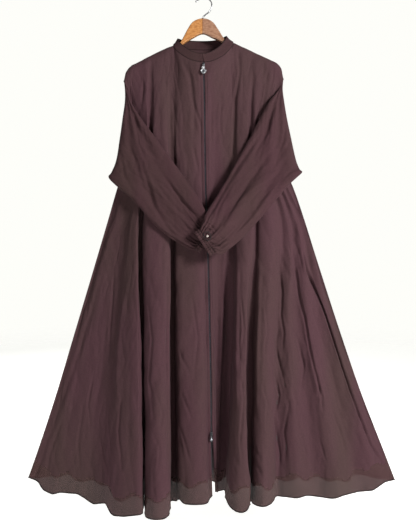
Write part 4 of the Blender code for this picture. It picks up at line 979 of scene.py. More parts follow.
def grid_mesh(name, grid, outward, finishes, closed_from=None, face_finish=None):
    """A mesh over a grid. From row closed_from on, the last column is joined to the first."""
    rows, columns = grid.shape[:2]
    index = np.arange(rows * columns).reshape(rows, columns)
    if closed_from is not None:
        index[closed_from:, -1] = index[closed_from:, 0]
    faces = np.stack((index[:-1, :-1], index[1:, :-1], index[1:, 1:], index[:-1, 1:]), axis=-1)
    used, faces = np.unique(faces, return_inverse=True)
    faces = faces.reshape(-1, 4)
    if not outward:
        faces = faces[:, ::-1]
    mesh = bpy.data.meshes.new(name)
    mesh.from_pydata(grid.reshape(-1, 3)[used].tolist(), [], faces.tolist())
    for finish in finishes:
        mesh.materials.append(finish)
    if face_finish is not None:
        mesh.polygons.foreach_set("material_index", face_finish.ravel())
    mesh.shade_smooth()
    mesh.update()
    return mesh


def in_scene(name, data):
    made = bpy.data.objects.new(name, data)
    bpy.context.scene.collection.objects.link(made)
    return made


def show(name, data, body="garment"):
    piece = in_scene(name, data)
    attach(piece, body)
    return piece


def cloth_piece(name, grid, outward, thickness, finishes, slot="cloth", **how):
    """A sheet of cloth over a grid, thickened inwards; how says what grid_mesh takes beyond this."""
    piece = show(name, grid_mesh(name, grid, outward, finishes, **how))
    wall = piece.modifiers.new("wall", "SOLIDIFY")
    wall.thickness = thickness
    wall.offset = -1.0
    return piece


def poly_curve(name, points, bevel, sides, closed, finish):
    """A curve with corners at points, and with a round bevel."""
    curve = bpy.data.curves.new(name, "CURVE")
    curve.dimensions = "3D"
    curve.bevel_depth = bevel
    curve.bevel_resolution = sides
    spline = curve.splines.new("POLY")
    spline.points.add(len(points) - 1)
    spline.use_cyclic_u = closed
    for place, point in zip(spline.points, points):
        place.co = (*point, 1.0)
    curve.materials.append(finish)
    return curve


def tube(name, points, radius, finish, slot, closed=False, sides=3, body="garment"):
    """A round cord or wire through points."""
    curve = poly_curve(name, points, radius, sides, closed, finish)
    curve.use_fill_caps = not closed
    return show(name, curve, body)


def outline_plate(name, outline, y, thick, rounding, finish, slot):
    """A flat plate cut to an outline of (x, z) points, facing the front."""
    curve = poly_curve(name, [(x, z, 0.0) for x, z in outline], rounding, 2, True, finish)
    curve.dimensions = "2D"
    curve.fill_mode = "BOTH"
    curve.extrude = thick / 2 - rounding
    curve.offset = -rounding
    piece = show(name, curve)
    piece.rotation_euler = (math.pi / 2, 0.0, 0.0)
    piece.location = (0.0, y, 0.0)
    return piece


def round_mesh(name, centre, rings, steps, finish, turn=0.0, capped=False):
    """A form of rings round a line along Y. A ring is its radius, how far forward it is, and by what
    share of a step it is turned."""
    mesh = bpy.data.meshes.new(name)
    bm = bmesh.new()
    made = []
    for radius, forward, shift in rings:
        angles = [2 * math.pi * (i + shift) / steps + turn for i in range(steps if radius else 1)]
        made.append([bm.verts.new((centre[0] + radius * math.cos(angle), centre[1] - forward,
                                   centre[2] + radius * math.sin(angle))) for angle in angles])
    for inner, outer in zip(made, made[1:]):
        for i in range(steps):
            corners = ((inner, i), (inner, i + 1), (outer, i + 1), (outer, i))
            corners = list(dict.fromkeys(ring[k % len(ring)] for ring, k in corners))
            if len(corners) > 2:
                bm.faces.new(corners)
    if capped:
        bm.faces.new(made[0][::-1])
        bm.faces.new(made[-1])
    bmesh.ops.recalc_face_normals(bm, faces=bm.faces)
    if capped:
        bmesh.ops.triangulate(bm, faces=[face for face in bm.faces if len(face.verts) == 4])
    bm.to_mesh(mesh)
    bm.free()
    mesh.materials.append(finish)
    return mesh


def turned(name, profile, centre, steps, finish, body="garment"):
    """A smooth form turned about a line along Y: the profile's points are (radius, how far forward)."""
    mesh = round_mesh(name, centre, [(*point, 0.0) for point in profile], steps, finish)
    mesh.shade_smooth()
    return show(name, mesh, body)


def cut_stone(name, centre, disc, kind, finish, body, turn=0.0):
    """A faceted stone that faces the front: a girdle, a ring of slopes and a table."""
    size, sides, height = STONES[kind]
    rings = [(disc * size * share, forward * height, shift) for share, forward, shift in
             ((1.0, -0.2, 0.5), (1.0, 0.15, 0.5), (0.82, 0.6, 0.0), (0.55, 1.0, 0.5))]
    return show(name, round_mesh(name, centre, rings, sides, finish, turn, True), body)


# Materials
def set_inputs(node, values):
    for name, value in values.items():
        node.inputs[name].default_value = value


def tree_of(name, roughness, metallic=0.0):
    made = bpy.data.materials.new(name)
    made.use_nodes = True
    tree = made.node_tree
    shader = tree.nodes["Principled BSDF"]
    set_inputs(shader, {"Roughness": roughness, "Metallic": metallic})
    return made, tree, shader


def noise(tree, scale, detail, stretch=(1.0, 1.0, 1.0)):
    """A noise pattern in metres, drawn out along an axis where its stretch is small."""
    place = tree.nodes.new("ShaderNodeTexCoord")
    mapping = tree.nodes.new("ShaderNodeMapping")
    mapping.inputs["Scale"].default_value = stretch
    pattern = tree.nodes.new("ShaderNodeTexNoise")
    set_inputs(pattern, {"Scale": scale, "Detail": detail})
    tree.links.new(place.outputs["Object"], mapping.inputs["Vector"])
    tree.links.new(mapping.outputs["Vector"], pattern.inputs["Vector"])
    return pattern.outputs["Fac"]


def ramp(tree, value, stops):
    node = tree.nodes.new("ShaderNodeValToRGB")
    tree.links.new(value, node.inputs["Fac"])
    elements = node.color_ramp.elements
    while len(elements) < len(stops):
        elements.new(0.5)
    for element, (place, colour) in zip(elements, stops):
        element.position = place
        element.color = (*colour, 1.0)
    return node.outputs["Color"]


def mix(tree, share, first, second, way="MIX"):
    node = tree.nodes.new("ShaderNodeMix")
    node.data_type = "RGBA"
    node.blend_type = way
    if isinstance(share, float):
        node.inputs["Factor"].default_value = share
    else:
        tree.links.new(share, node.inputs["Factor"])
    tree.links.new(first, node.inputs["A"])
    tree.links.new(second, node.inputs["B"])
    return node.outputs["Result"]


def bump(tree, shader, height, strength, distance):
    node = tree.nodes.new("ShaderNodeBump")
    set_inputs(node, {"Strength": strength, "Distance": distance})
    tree.links.new(height, node.inputs["Height"])
    if shader.inputs["Normal"].links:
        tree.links.new(shader.inputs["Normal"].links[0].from_socket, node.inputs["Normal"])
    tree.links.new(node.outputs["Normal"], shader.inputs["Normal"])


def georgette(name, plum, olive, alpha=1.0):
    """A matt crinkled cloth whose plum leans to olive in long soft patches."""
    made, tree, shader = tree_of(name, 0.88)
    patches = ramp(tree, noise(tree, 9.0, 2.0, (1.0, 1.0, 0.22)), ((0.38, plum), (0.66, olive)))
    mottle = ramp(tree, noise(tree, 260.0, 2.0), ((0.25, (0.80, 0.80, 0.80)), (0.75, (1.0, 1.0, 1.0))))
    tree.links.new(mix(tree, 1.0, patches, mottle, "MULTIPLY"), shader.inputs["Base Color"])
    set_inputs(shader, {"Sheen Weight": 0.04, "Sheen Roughness": 0.45, "Sheen Tint": (0.62, 0.50, 0.52, 1.0),
                        "Specular IOR Level": 0.10, "Alpha": alpha})
    bump(tree, shader, noise(tree, 1500.0, 2.0), 0.25, 0.0004)
    bump(tree, shader, noise(tree, 130.0, 3.0, (1.0, 1.0, 0.45)), 0.22, 0.0016)
    return made


def plain_finish(name, roughness, pattern, stops, bumps=(), metallic=0.0, **inputs):
    """A finish whose colour follows one noise pattern. A bump is its pattern, strength and distance."""
    made, tree, shader = tree_of(name, roughness, metallic)
    tree.links.new(ramp(tree, noise(tree, *pattern), stops), shader.inputs["Base Color"])
    set_inputs(shader, {name.replace("_", " "): value for name, value in inputs.items()})
    for relief, strength, distance in bumps:
        bump(tree, shader, noise(tree, *relief), strength, distance)
    return made


def satin(name, dark, light):
    return plain_finish(name, 0.55, (14.0, 2.0, (1.0, 1.0, 0.3)), ((0.35, dark), (0.7, light)),
                        (((900.0, 2.0, (1.0, 1.0, 0.1)), 0.15, 0.0003),), Specular_IOR_Level=0.35)


def metal(name, colour, roughness):
    return plain_finish(name, roughness, (180.0, 2.0), ((0.3, tuple(c * 0.82 for c in colour)), (0.7, colour)),
                        (((700.0, 2.0), 0.08, 0.0002),), 1.0)


def gem(name, dark, light):
    return plain_finish(name, 0.06, (420.0, 1.0), ((0.35, dark), (0.62, light)), (), 0.55,
                        Coat_Weight=1.0, Coat_Roughness=0.03)


def wood_finish():
    """Light varnished wood whose grain runs down each arm, with a dark line where they join; the arm towards +X is
    darker and pinker with painted shade.
    """
    made, tree, shader = tree_of("wood", 0.34)
    place = tree.nodes.new("ShaderNodeTexCoord")
    split = tree.nodes.new("ShaderNodeSeparateXYZ")
    tree.links.new(place.outputs["Object"], split.inputs["Vector"])

    def sum_up(way, first, second):
        node = tree.nodes.new("ShaderNodeMath")
        node.operation = way
        for socket, value in zip(node.inputs, (first, second)):
            if isinstance(value, float):
                socket.default_value = value
            else:
                tree.links.new(value, socket)
        return node.outputs["Value"]

    aside = sum_up("ABSOLUTE", sum_up("ADD", split.outputs["X"], 0.004), 0.0)
    along = sum_up("SUBTRACT", sum_up("MULTIPLY", aside, 0.9), sum_up("MULTIPLY", split.outputs["Z"], 0.44))
    over = sum_up("ADD", sum_up("MULTIPLY", aside, 0.44), sum_up("MULTIPLY", split.outputs["Z"], 0.9))
    grain_place = tree.nodes.new("ShaderNodeCombineXYZ")
    for axis, value, lines in (("X", along, 9.0), ("Z", over, 260.0), ("Y", split.outputs["Y"], 260.0)):
        tree.links.new(sum_up("MULTIPLY", value, lines), grain_place.inputs[axis])
    grain = tree.nodes.new("ShaderNodeTexNoise")
    set_inputs(grain, {"Scale": 1.0, "Detail": 4.0})
    tree.links.new(grain_place.outputs["Vector"], grain.inputs["Vector"])
    tone = ramp(tree, grain.outputs["Fac"],
                ((0.30, (0.30, 0.117, 0.034)), (0.50, (0.44, 0.189, 0.058)), (0.70, (0.53, 0.250, 0.089))))
    # The darker, pinker tone of the arm towards +X is painted shade.
    shaded_tone = ramp(tree, grain.outputs["Fac"],
                ((0.30, (0.20, 0.095, 0.055)), (0.50, (0.29, 0.150, 0.090)), (0.70, (0.36, 0.200, 0.125))))
    tone = mix(tree, sum_up("GREATER_THAN", split.outputs["X"], -0.004), tone, shaded_tone)
    join = sum_up("LESS_THAN", aside, 0.0006)
    dark = tree.nodes.new("ShaderNodeRGB")
    dark.outputs[0].default_value = (0.16, 0.07, 0.03, 1.0)
    tree.links.new(mix(tree, join, tone, dark.outputs[0]), shader.inputs["Base Color"])
    set_inputs(shader, {"Coat Weight": 0.35, "Coat Roughness": 0.2})
    bump(tree, shader, grain.outputs["Fac"], 0.12, 0.0005)
    return made


PLUM, OLIVE = (0.066, 0.0304, 0.0368), (0.059, 0.0325, 0.0325)
CLOTH_FINISH = georgette("georgette", PLUM, OLIVE)
# A darker copy of the cloth for the sleeves, cuffs and collar: the same georgette with painted shade.
SHADED_CLOTH_FINISH = georgette("georgette_shaded", (0.055, 0.0246, 0.0292), (0.049, 0.0262, 0.0258))
SHEER_FINISH = georgette("georgette_sheer", (0.068, 0.034, 0.035), (0.064, 0.036, 0.033), 0.86)
# Near black: the rolled hems are partly this dark themselves and partly painted shade; the seam lines at the collar
# and cuffs are painted shade; the stitches are dark thread.
HEM_AND_SHADE_FINISH = georgette("georgette_hem_and_shade", (0.016, 0.009, 0.010), (0.020, 0.012, 0.011))
LINING_FINISH = satin("lining", (0.030, 0.018, 0.019), (0.044, 0.028, 0.027))
STEEL = metal("steel", (0.36, 0.36, 0.37), 0.30)
# Near black: the shade round the cloth loop painted into the cord's colour.
SHADED_CORD_FINISH = satin("cord", (0.008, 0.006, 0.007), (0.014, 0.010, 0.011))
DARK_STEEL = metal("dark_steel", (0.10, 0.10, 0.11), 0.36)
# The clear stones' pale colour is partly painted sparkle; the metal share and the coat reflect the lights.
STONE = gem("stone", (0.42, 0.43, 0.46), (0.95, 0.95, 0.98))
SMOKE = gem("smoke_stone", (0.05, 0.05, 0.06), (0.30, 0.31, 0.34))
PEARL = plain_finish("pearl", 0.22, (220.0, 2.0), ((0.3, (0.30, 0.25, 0.23)), (0.7, (0.46, 0.40, 0.37))),
                     Coat_Weight=0.8, Coat_Roughness=0.08, Sheen_Weight=0.3)
TAPE = plain_finish("zip_tape", 0.75, (800.0, 1.0, (0.3, 1.0, 1.0)),
                    ((0.4, (0.007, 0.007, 0.010)), (0.6, (0.015, 0.016, 0.021))),
                    (((1300.0, 1.0, (0.2, 1.0, 1.0)), 0.3, 0.0004),))
NYLON = plain_finish("zip_teeth", 0.38, (60.0, 1.0), ((0.35, (0.013, 0.013, 0.018)), (0.65, (0.026, 0.027, 0.035))))
WOOD = wood_finish()


# The three panels, their linings and their hems
def lining_edge(columns, seed):
    """Down to which place among the rows the lining reaches in each column: a slightly uneven edge."""
    random = np.random.default_rng(seed)
    share = np.linspace(0.0, 1.0, columns)
    waves = sum(np.sin(2 * math.pi * (count * share + random.uniform())) for count in (3.3, 7.1, 12.7))
    return LINING_LAST + LINING_WAVE * waves


def edge_tube(name, row, normals, depth, radius, closed=False):
    """A narrow rolled edge or seam along a row of points, so deep in the cloth, in near black: on a rolled edge
    partly the hem's own tone and partly painted shade, along a seam a painted shade line.
    """
    return tube(name, row - normals * depth, radius, HEM_AND_SHADE_FINISH, "cloth", closed)


def lining_surface(grid, places, outward, columns, edge):
    """The lining's points, inside a panel, down to its lower edge."""
    normals = grid_normals(grid, outward)
    inside = (grid - normals * LINING_DEPTH)[:, columns][:, ::2]
    made = []
    for j, end in enumerate(edge[columns][::2]):
        at = np.linspace(LINING_FIRST, end, LINING_ROWS)
        made.append(np.stack([np.interp(at, places, inside[:, j, k]) for k in range(3)], axis=-1))
    return np.array(made).transpose(1, 0, 2)


def build_panel(name, lines, creases, seed, lined, flat, cut_area, lining_flat, lining_area):
    outward = name != "back"
    grid, places, at = fine_surface(lines, ROW_STEP, FRONT_STEP if outward else COLUMN_STEP)
    columns = (at >= lined[0]) & (at <= len(lines) - 1 - lined[1])
    grid = rippled(creased(softened(grid), outward, creases, seed), outward, seed + 1)
    if name in HEM_EDGE:
        grid = hemmed(lapped(grid, name), outward, HEM_EDGE[name])
    grid = joined(grid)
    edge = lining_edge(grid.shape[1], seed + 2)
    sheer = (places[1:, None] >= edge[None, 1:] - SHEER_LAP).astype(np.int32)
    panel = cloth_piece(name + "_cloth", grid, outward, THIN_CLOTH, (CLOTH_FINISH, SHEER_FINISH), face_finish=sheer)
    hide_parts(*[name + "_" + stretch for stretch in STRETCHES])
    hem = edge_tube(name + "_hem", grid[-1], grid_normals(grid, outward)[-1], THIN_CLOTH / 2, HEM_ROLL)
    inner = lining_surface(grid, places, outward, columns, edge)
    lining = cloth_piece(name + "_lining", inner, outward, THIN_LINING, (LINING_FINISH,), "lining")
    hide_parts("lining_" + name)
    lining_hem = edge_tube(name + "_lining_hem", inner[-1], grid_normals(inner, outward)[-1], THIN_LINING / 2,
                           HEM_ROLL * 0.8)
    return grid


# Each panel: its creases and seed, how many of its lines at each end have no lining, and then the
# flat size and area of its cloth and of its lining
PANELS = {
    "front_right": (BODY_CREASES, 11, (2, 1), (0.80, 1.34), 0.60, (0.66, 0.62), 0.280),
    "front_left": (BODY_CREASES, 21, (1, 2), (0.74, 1.34), 0.51, (0.56, 0.62), 0.225),
    "back": ((), 31, (2, 2), (1.34, 1.32), 0.93, (1.00, 0.60), 0.400),
}


def build_panels():
    """All three, from lines that run down the cloth, with a flat strip beside each seam."""
    def strip(make, *place):
        return [make(*place, inset) for inset in (0.0, EDGE_STRIP)]

    def folds(rows, front):
        return [fold_line(row, front) for row in rows]

    right = strip(side_line, "right", True) + folds(FRONT_RIGHT_FOLDS, True) + strip(front_edge, "right")[::-1]
    left = strip(front_edge, "left") + folds(FRONT_LEFT_FOLDS, True) + strip(side_line, "left", True)[::-1]
    back = strip(side_line, "right", False) + folds(BACK_FOLDS, False) + strip(side_line, "left", False)[::-1]
    lines = {"front_right": right, "front_left": left, "back": back}
    return {name: build_panel(name, lines[name], *values) for name, values in PANELS.items()}


# The sleeves, cuffs, buttons and loops
def gathered(grid, outward, seed):
    """The last stretch of a sleeve drawn into uneven gathers at the cuff."""
    normals = grid_normals(grid, outward)
    steps = np.linalg.norm(np.diff(grid[::-1], axis=0), axis=2)
    away = np.concatenate((np.zeros((1, grid.shape[1])), np.cumsum(steps, axis=0)))[::-1]
    share = np.linspace(0.0, 1.0, grid.shape[1])
    random = np.random.default_rng(seed)
    phase = GATHERS * share + 0.35 * np.sin(2 * math.pi * (3 * share + random.uniform()))
    phase += 0.3 * np.sin(2 * math.pi * (5 * share + random.uniform()))
    size = 0.75 + 0.35 * np.sin(2 * math.pi * (4 * share + random.uniform()))
    reach = GATHER_REACH * (1.0 + 0.5 * np.sin(2 * math.pi * (7 * share + random.uniform())))
    near = 0.35 * np.exp(-away / 0.012) + np.minimum(away / GATHER_PEAK, 1.0) * np.exp(-away / reach)
    return grid + normals * (GATHER_DEPTH * size * np.sin(2 * math.pi * phase) * near)[..., None]


def build_sleeve(side):
    """A sleeve with its creases, gathers and tucked seam allowance, and then its cuff."""
    outward = side == "right"
    heights = armhole_heights(side)[1:]
    heights += [UNDERARM_Z] * (len(SLEEVE_ROWS[side]) - len(heights))
    sections = [sleeve_section(side, row, z) for row, z in zip(SLEEVE_ROWS[side], heights)]
    rows = np.array([cap_arc(side, len(sections[0]))] + sections)
    grid, places, _ = fine_surface(rows.transpose(1, 0, 2), *SLEEVE_STEP)
    slit = 1 + sum(1 for z in heights if z > UNDERARM_Z)
    closed = places >= slit
    grid[closed, 0] = grid[closed, -1] = (grid[closed, 0] + grid[closed, -1]) / 2
    inward = INWARD[side]
    tuck = np.clip((slit - places) / 1.5, 0.0, 1.0)
    for column, share in ((0, 1.0), (-1, 1.0), (1, 0.45), (-2, 0.45)):
        grid[:, column, 0] += inward * SEAM_TUCK[0] * share * tuck
        grid[:, column, 1] *= 1.0 - SEAM_TUCK[1] * share * tuck
    normals = grid_normals(grid, outward)
    across, down = picture(grid)
    facing = np.clip((np.abs(normals[..., 1]) - 0.35) * 2.2, 0.0, 1.0)
    front = normals[..., 1] < 0
    depths = crease_depth(across, down, SLEEVE_LINES[side]) * facing * front
    depths += crease_depth(across, down, wandering(grid, WANDER_SEED + outward, *SLEEVE_WANDER)) * facing
    depths += crumple(grid, CRUMPLE_SEED + outward) * facing
    depths *= np.clip((places - 0.6) / 1.5, 0.0, 1.0)[:, None]
    grid = grid - normals * depths[..., None]
    grid = gathered(grid, outward, GATHER_SEED + outward)
    allowance = grid[0] * (1.0, ALLOWANCE[1], 1.0) + (inward * ALLOWANCE[0], 0.0, ALLOWANCE[2])
    grid = np.concatenate((allowance[None], (allowance + grid[0])[None] / 2, grid))
    name = "sleeve_" + side
    sleeve = cloth_piece(name + "_cloth", grid, outward, THIN_CLOTH, (SHADED_CLOTH_FINISH,),
                         closed_from=int(np.argmax(closed)) + 2)
    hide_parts(name)
    build_cuff(side, sections[-2:], outward)


def build_cuff(side, sections, outward):
    """The narrow cuff: a small gathered ruffle and then a flat band."""
    axis = cuff_frame(side)[2]
    reach = np.linspace(SEAM_GAP * 2, CUFF_LENGTH, 5)
    lines = np.array([np.array(sections[-1]) + axis * step for step in reach]).transpose(1, 0, 2)
    grid, places, _ = fine_surface(lines, *CUFF_STEP)
    grid[:, 0] = grid[:, -1] = (grid[:, 0] + grid[:, -1]) / 2
    normals = grid_normals(grid, outward)
    share = (places / places[-1])[:, None]
    turn = np.linspace(0.0, 1.0, grid.shape[1])[None, :]
    ruffle = np.sin(np.pi * np.clip(share / RUFFLE, 0.0, 1.0))
    band = np.sin(np.pi * np.clip((share - RUFFLE) / (1.0 - RUFFLE), 0.0, 1.0)) ** 0.5
    pleats = np.sin(2 * math.pi * (GATHERS * turn + 0.4 * np.sin(2 * math.pi * 3 * turn) + 0.15 * share))
    rise = 0.0009 * ruffle + 0.0012 * band + pleats * (0.0011 * ruffle + 0.0009 * band)
    grid = grid + normals * rise[..., None]
    name = "cuff_" + side
    cuff = cloth_piece(name + "_band", grid, outward, CUFF_WALL, (SHADED_CLOTH_FINISH,), closed_from=0)
    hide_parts(name)
    # Near-black tubes along the cuff's two seams: painted shade lines.
    for end, row in (("inner", 0), ("outer", int(np.argmax(share[:, 0] > RUFFLE)))):
        edge_tube("cuff_seam_shade_%s_%s" % (side, end), grid[row, :-1:2], normals[row, :-1:2],
                               SEAM_DEPTH, CUFF_SEAM, True)
    build_button(side)
    build_loop(side, sections)


def build_button(side):
    low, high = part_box("cuff_button_" + side)
    centre = ((low[0] + high[0]) / 2, high[1], (low[2] + high[2]) / 2)
    profile = [(0.0, 0.0), (BUTTON_RADIUS * 0.55, 0.0)]
    for i in range(11):
        angle = math.radians(-28 + 118 * i / 10)
        profile.append((BUTTON_RADIUS * math.cos(angle) if i < 10 else 0.0, 0.0016 + 0.0030 * math.sin(angle)))
    button = turned("cuff_pearl_" + side, profile, centre, 32, PEARL)
    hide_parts("cuff_button_" + side)


def build_loop(side, sections):
    """A soft cord loop round the button, not quite an even oval; its near-black colour is painted shade round a cloth
    loop.
    """
    inner, along, axis = cuff_frame(side)
    centre = inner + along * BUTTON_PLACE[0] - axis * BUTTON_PLACE[1]
    points = []
    for i, point in enumerate(loop_route(side, sections, centre, 72)):
        angle = 2 * math.pi * i / 72
        swell = 0.05 * math.sin(2 * angle + 0.7) + 0.03 * math.sin(3 * angle)
        points.append(point + (point - centre) * (swell, 0.0, swell) - (0.0, LOOP_RAISE, 0.0))
    cord = tube("cuff_cord_" + side, points, LOOP_CORD * 0.85, SHADED_CORD_FINISH, "cloth", closed=True)
    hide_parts("cuff_loop_" + side)


# The collar
def build_collar(grids):
    left, back, right = [grids[name][0] for name in ("front_left", "back", "front_right")]
    ends = SHOULDER["right"][0][0] - 0.0001, SHOULDER["left"][0][0] + 0.0001
    left, back, right = [[p for p in row if ends[0] < p[0] < ends[1]] for row in (left, back, right)]
    ends = [np.array((ZIP[0][1] + step, left[0][1], left[0][2])) for step in (COLLAR_OPENING, -COLLAR_OPENING)]
    points = ends[:1] + left + back[::-1] + right + ends[1:]
    rows = []
    for share, rise in ((0.0, 0.0), (0.0, COLLAR_FOOT), (0.5, 0.0), (1.0, 0.0)):
        half = NECK_HALF + (COLLAR_TOP_HALF - NECK_HALF) * share
        centre = NECK_X + (COLLAR_TOP_X - NECK_X) * share
        row = []
        for point in points:
            across = min(max((point[0] - NECK_X) / NECK_HALF, -1.0), 1.0)
            weight = (1.0 - across**2) ** 0.75
            front = point[1] < 0
            top_y = COLLAR_TOP_FRONT_Y / NECK_FRONT_Y if front else COLLAR_TOP_BACK_Y / NECK_BACK_Y
            lift = COLLAR_SIDE_RISE * (1 - weight) + (COLLAR_FRONT_RISE if front else COLLAR_BACK_RISE) * weight
            y = point[1] * (1.0 + (top_y - 1.0) * share)
            row.append((centre + half * across, y, point[2] + SEAM_GAP + lift * share + rise))
        rows.append(row)
    rows = np.array(rows)
    grid = smooth((0.0, 0.003, 0.0125, 0.025), rows, np.linspace(0.0, 0.025, 15))
    collar = cloth_piece("collar_band", grid, False, COLLAR_WALL, (SHADED_CLOTH_FINISH,))
    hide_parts("collar")
    normals = grid_normals(grid, False)
    edge = edge_tube("collar_edge", grid[-1], normals[-1], COLLAR_WALL / 2, COLLAR_ROLL)
    # A near-black tube along the collar's foot: a painted shade line in the seam.
    seam = edge_tube("collar_seam_shade", grid[0], normals[0], COLLAR_SEAM_DEPTH, COLLAR_SEAM)


# The zip
def repeated(name, size, centres, turns, finish):
    """Many copies of a small box with its corners taken off, joined in one mesh. A turn gives the
    copy's X, Y and Z directions."""
    bm = bmesh.new()
    bmesh.ops.create_cube(bm, size=1.0)
    for vert in bm.verts:
        vert.co = Vector(a * b for a, b in zip(vert.co, size))
    bmesh.ops.bevel(bm, geom=list(bm.edges), offset=min(size) * 0.3, segments=1, affect="EDGES")
    base = np.array([vert.co[:] for vert in bm.verts])
    sides = [[vert.index for vert in face.verts] for face in bm.faces]
    bm.free()
    points, faces = [], []
    for i, (centre, turn) in enumerate(zip(centres, turns)):
        points.append(base @ np.array(turn) + centre)
        faces += [[corner + i * len(base) for corner in side] for side in sides]
    mesh = bpy.data.meshes.new(name)
    mesh.from_pydata(np.concatenate(points).tolist(), [], faces)
    mesh.materials.append(finish)
    mesh.shade_smooth()
    mesh.set_sharp_from_angle(angle=math.radians(40))
    return show(name, mesh)


def along_line(points, step):
    """Places a step apart along a line of points, with the line's direction at each."""
    run = line_run(points)
    at = np.arange(step / 2, run[-1], step)
    places = np.stack([np.interp(at, run, points[:, k]) for k in range(3)], axis=-1)
    ways = np.gradient(places, axis=0)
    return places, ways / np.linalg.norm(ways, axis=1, keepdims=True)


def fine_edge(side):
    points = np.array(front_edge(side, 0.0))
    knots = line_run(points)
    return smooth(knots, points, np.arange(0.0, knots[-1], 0.006))


def build_teeth(name, line, pitch, apart, shift, width):
    """Teeth along a line, which stand apart from it to each side in turn."""
    places, ways = along_line(line, pitch)
    across = np.cross(ways, FORWARD)
    sides = np.where(np.arange(len(places)) % 2, 1.0, -1.0)[:, None]
    turns = [(aside * width, -FORWARD, -way) for aside, way in zip(across, ways)]
    repeated(name, TOOTH, places + across * sides * apart + shift, turns, NYLON)


def build_zip():
    """Teeth in front of the tape: meshed in the closed part, and one row on each open edge."""
    chain = fine_edge("right") + (ZIP_EDGE, -0.0002, 0.0)
    build_teeth("zip_teeth", chain[chain[:, 2] > ZIP_END_Z], TOOTH_PITCH / 2, TOOTH_APART, (0.0, -0.0003, 0.0), 1.0)
    for side, inward in INWARD.items():
        edge = fine_edge(side)
        edge = edge[edge[:, 2] < ZIP_END_Z - OPEN_START][:-8]
        build_teeth("zip_teeth_" + side, edge, TOOTH_PITCH, 0.0, (inward * OPEN_TOOTH, -0.0005, 0.0), OPEN_LENGTH)
    for name in ("zip_chain", "zip_tape_right", "zip_tape_left"):
        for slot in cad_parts[name].material_slots:
            slot.material = TAPE


def build_seams(grids):
    """Short stitches that hold the cloth to the zip's tape, on both sides and on down the slit."""
    for name, edge in (("front_right", -1), ("front_left", 0)):
        grid = grids[name]
        raised = grid + grid_normals(grid, True) * STITCH[2] / 2
        away = np.linalg.norm(grid - grid[:, edge:edge + 1 or None], axis=2).mean(axis=0)
        line = raised[2:-2, int(np.argmin(np.abs(away - STITCH_INSET)))]
        places, ways = along_line(line, STITCH[0] + STITCH_GAP)
        turns = [(way, np.cross(way, FORWARD), FORWARD) for way in ways]
        repeated(name + "_stitches", STITCH, places, turns, HEM_AND_SHADE_FINISH)


def slider_outline(x, z, up):
    """A shield: wide where the chain opens, narrow where it closes."""
    wide, narrow, half = SLIDER[0] / 2, SLIDER[0] * 0.36, SLIDER[2] / 2
    shape = ((-narrow, -half), (-narrow * 1.02, -half * 0.3), (-wide, half * 0.3), (-wide * 0.94, half * 0.8),
             (-wide * 0.5, half), (0.0, half * 0.86), (wide * 0.5, half), (wide * 0.94, half * 0.8),
             (wide, half * 0.3), (narrow * 1.02, -half * 0.3), (narrow, -half))
    points = np.array(shape) * np.array((1.0, up))
    return [(x + a, z + b) for a, b in (points if up > 0 else points[::-1])]


def build_slider(name, z, discs, up):
    """Two plates, a post and a bridge. Its wide end is up or, where up is -1, down."""
    x, y = zip_place(max(z, ZIP_END_Z))
    face_y = y - 0.0002 - SEAM_GAP
    front_y = face_y - SLIDER[1]
    outline = slider_outline(x, z, up)
    post = [(x + a, z + up * b) for a, b in SLIDER_POST][::-up]
    plates = (("plate", outline, front_y + 0.0008, *SLIDER_PLATE), ("back", outline, y + 0.0016, *SLIDER_BACK),
              ("post", post, (front_y + y) / 2 + 0.0008, y - front_y + 0.0004, 0.0003))
    made = [outline_plate("slider_%s_%s" % (name, part), *shape, DARK_STEEL, "steel") for part, *shape in plates]
    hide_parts("slider_" + name)
    half, sunk, clear, wire = BRIDGE
    pivot_y = front_y - LUG[1] + sunk - PULL_PIN - SEAM_GAP
    arch = []
    for i in range(15):
        angle = math.pi * i / 14
        rise = (front_y + sunk + clear - pivot_y) * math.sin(angle) ** 0.7
        arch.append((x, front_y + sunk - rise, z + half * math.cos(angle)))
    tube("slider_%s_bridge" % name, arch, wire, DARK_STEEL, "steel")
    build_pull(name, (x, pivot_y, z), discs, "zip_pull_" + name)


def build_pull(name, pivot, discs, body):
    """A jewelled pull: a pin through the bridge, a wire neck, and stones in bezels."""
    x, y, z = pivot
    steel, stone = (STEEL, STONE) if name == "top" else (DARK_STEEL, SMOKE)
    pin = tube("pull_%s_pin" % name, [(x - PIN_HALF, y, z), (x + PIN_HALF, y, z)], PULL_PIN * 0.9, steel, "steel",
               body=body)
    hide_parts("pull_" + name)
    first = discs[0][0] - discs[0][1] * 0.7
    for side, inward in INWARD.items():
        points = [(x - inward * aside, y, z - first * down) for aside, down in PULL_WIRE]
        tube("pull_%s_wire_%s" % (name, side), points, PULL_WIRE_RADIUS, steel, "steel", body=body)
    for i, (down, radius, depth) in enumerate(discs):
        profile = [(radius * share, depth / 2 * forward) for share, forward in BEZEL]
        turned("pull_%s_bezel_%d" % (name, i), profile, (x, y, z - down), 36, steel, body)
        face = (x, y - depth / 2 * STONE_SEAT, z - down)
        if radius > LARGE_DISC:
            for j in range(SPARKS):
                angle = 2 * math.pi * j / SPARKS
                spot = (face[0] + radius * SPARK_RING * math.cos(angle), face[1],
                        face[2] + radius * SPARK_RING * math.sin(angle))
                cut_stone("pull_%s_spark_%d" % (name, j), spot, radius, "spark", stone, body)
            cut_stone("pull_%s_heart" % name, face, radius, "heart", SMOKE, body, math.pi / 2)
        else:
            cut_stone("pull_%s_stone_%d" % (name, i), face, radius, "stone", stone, body)


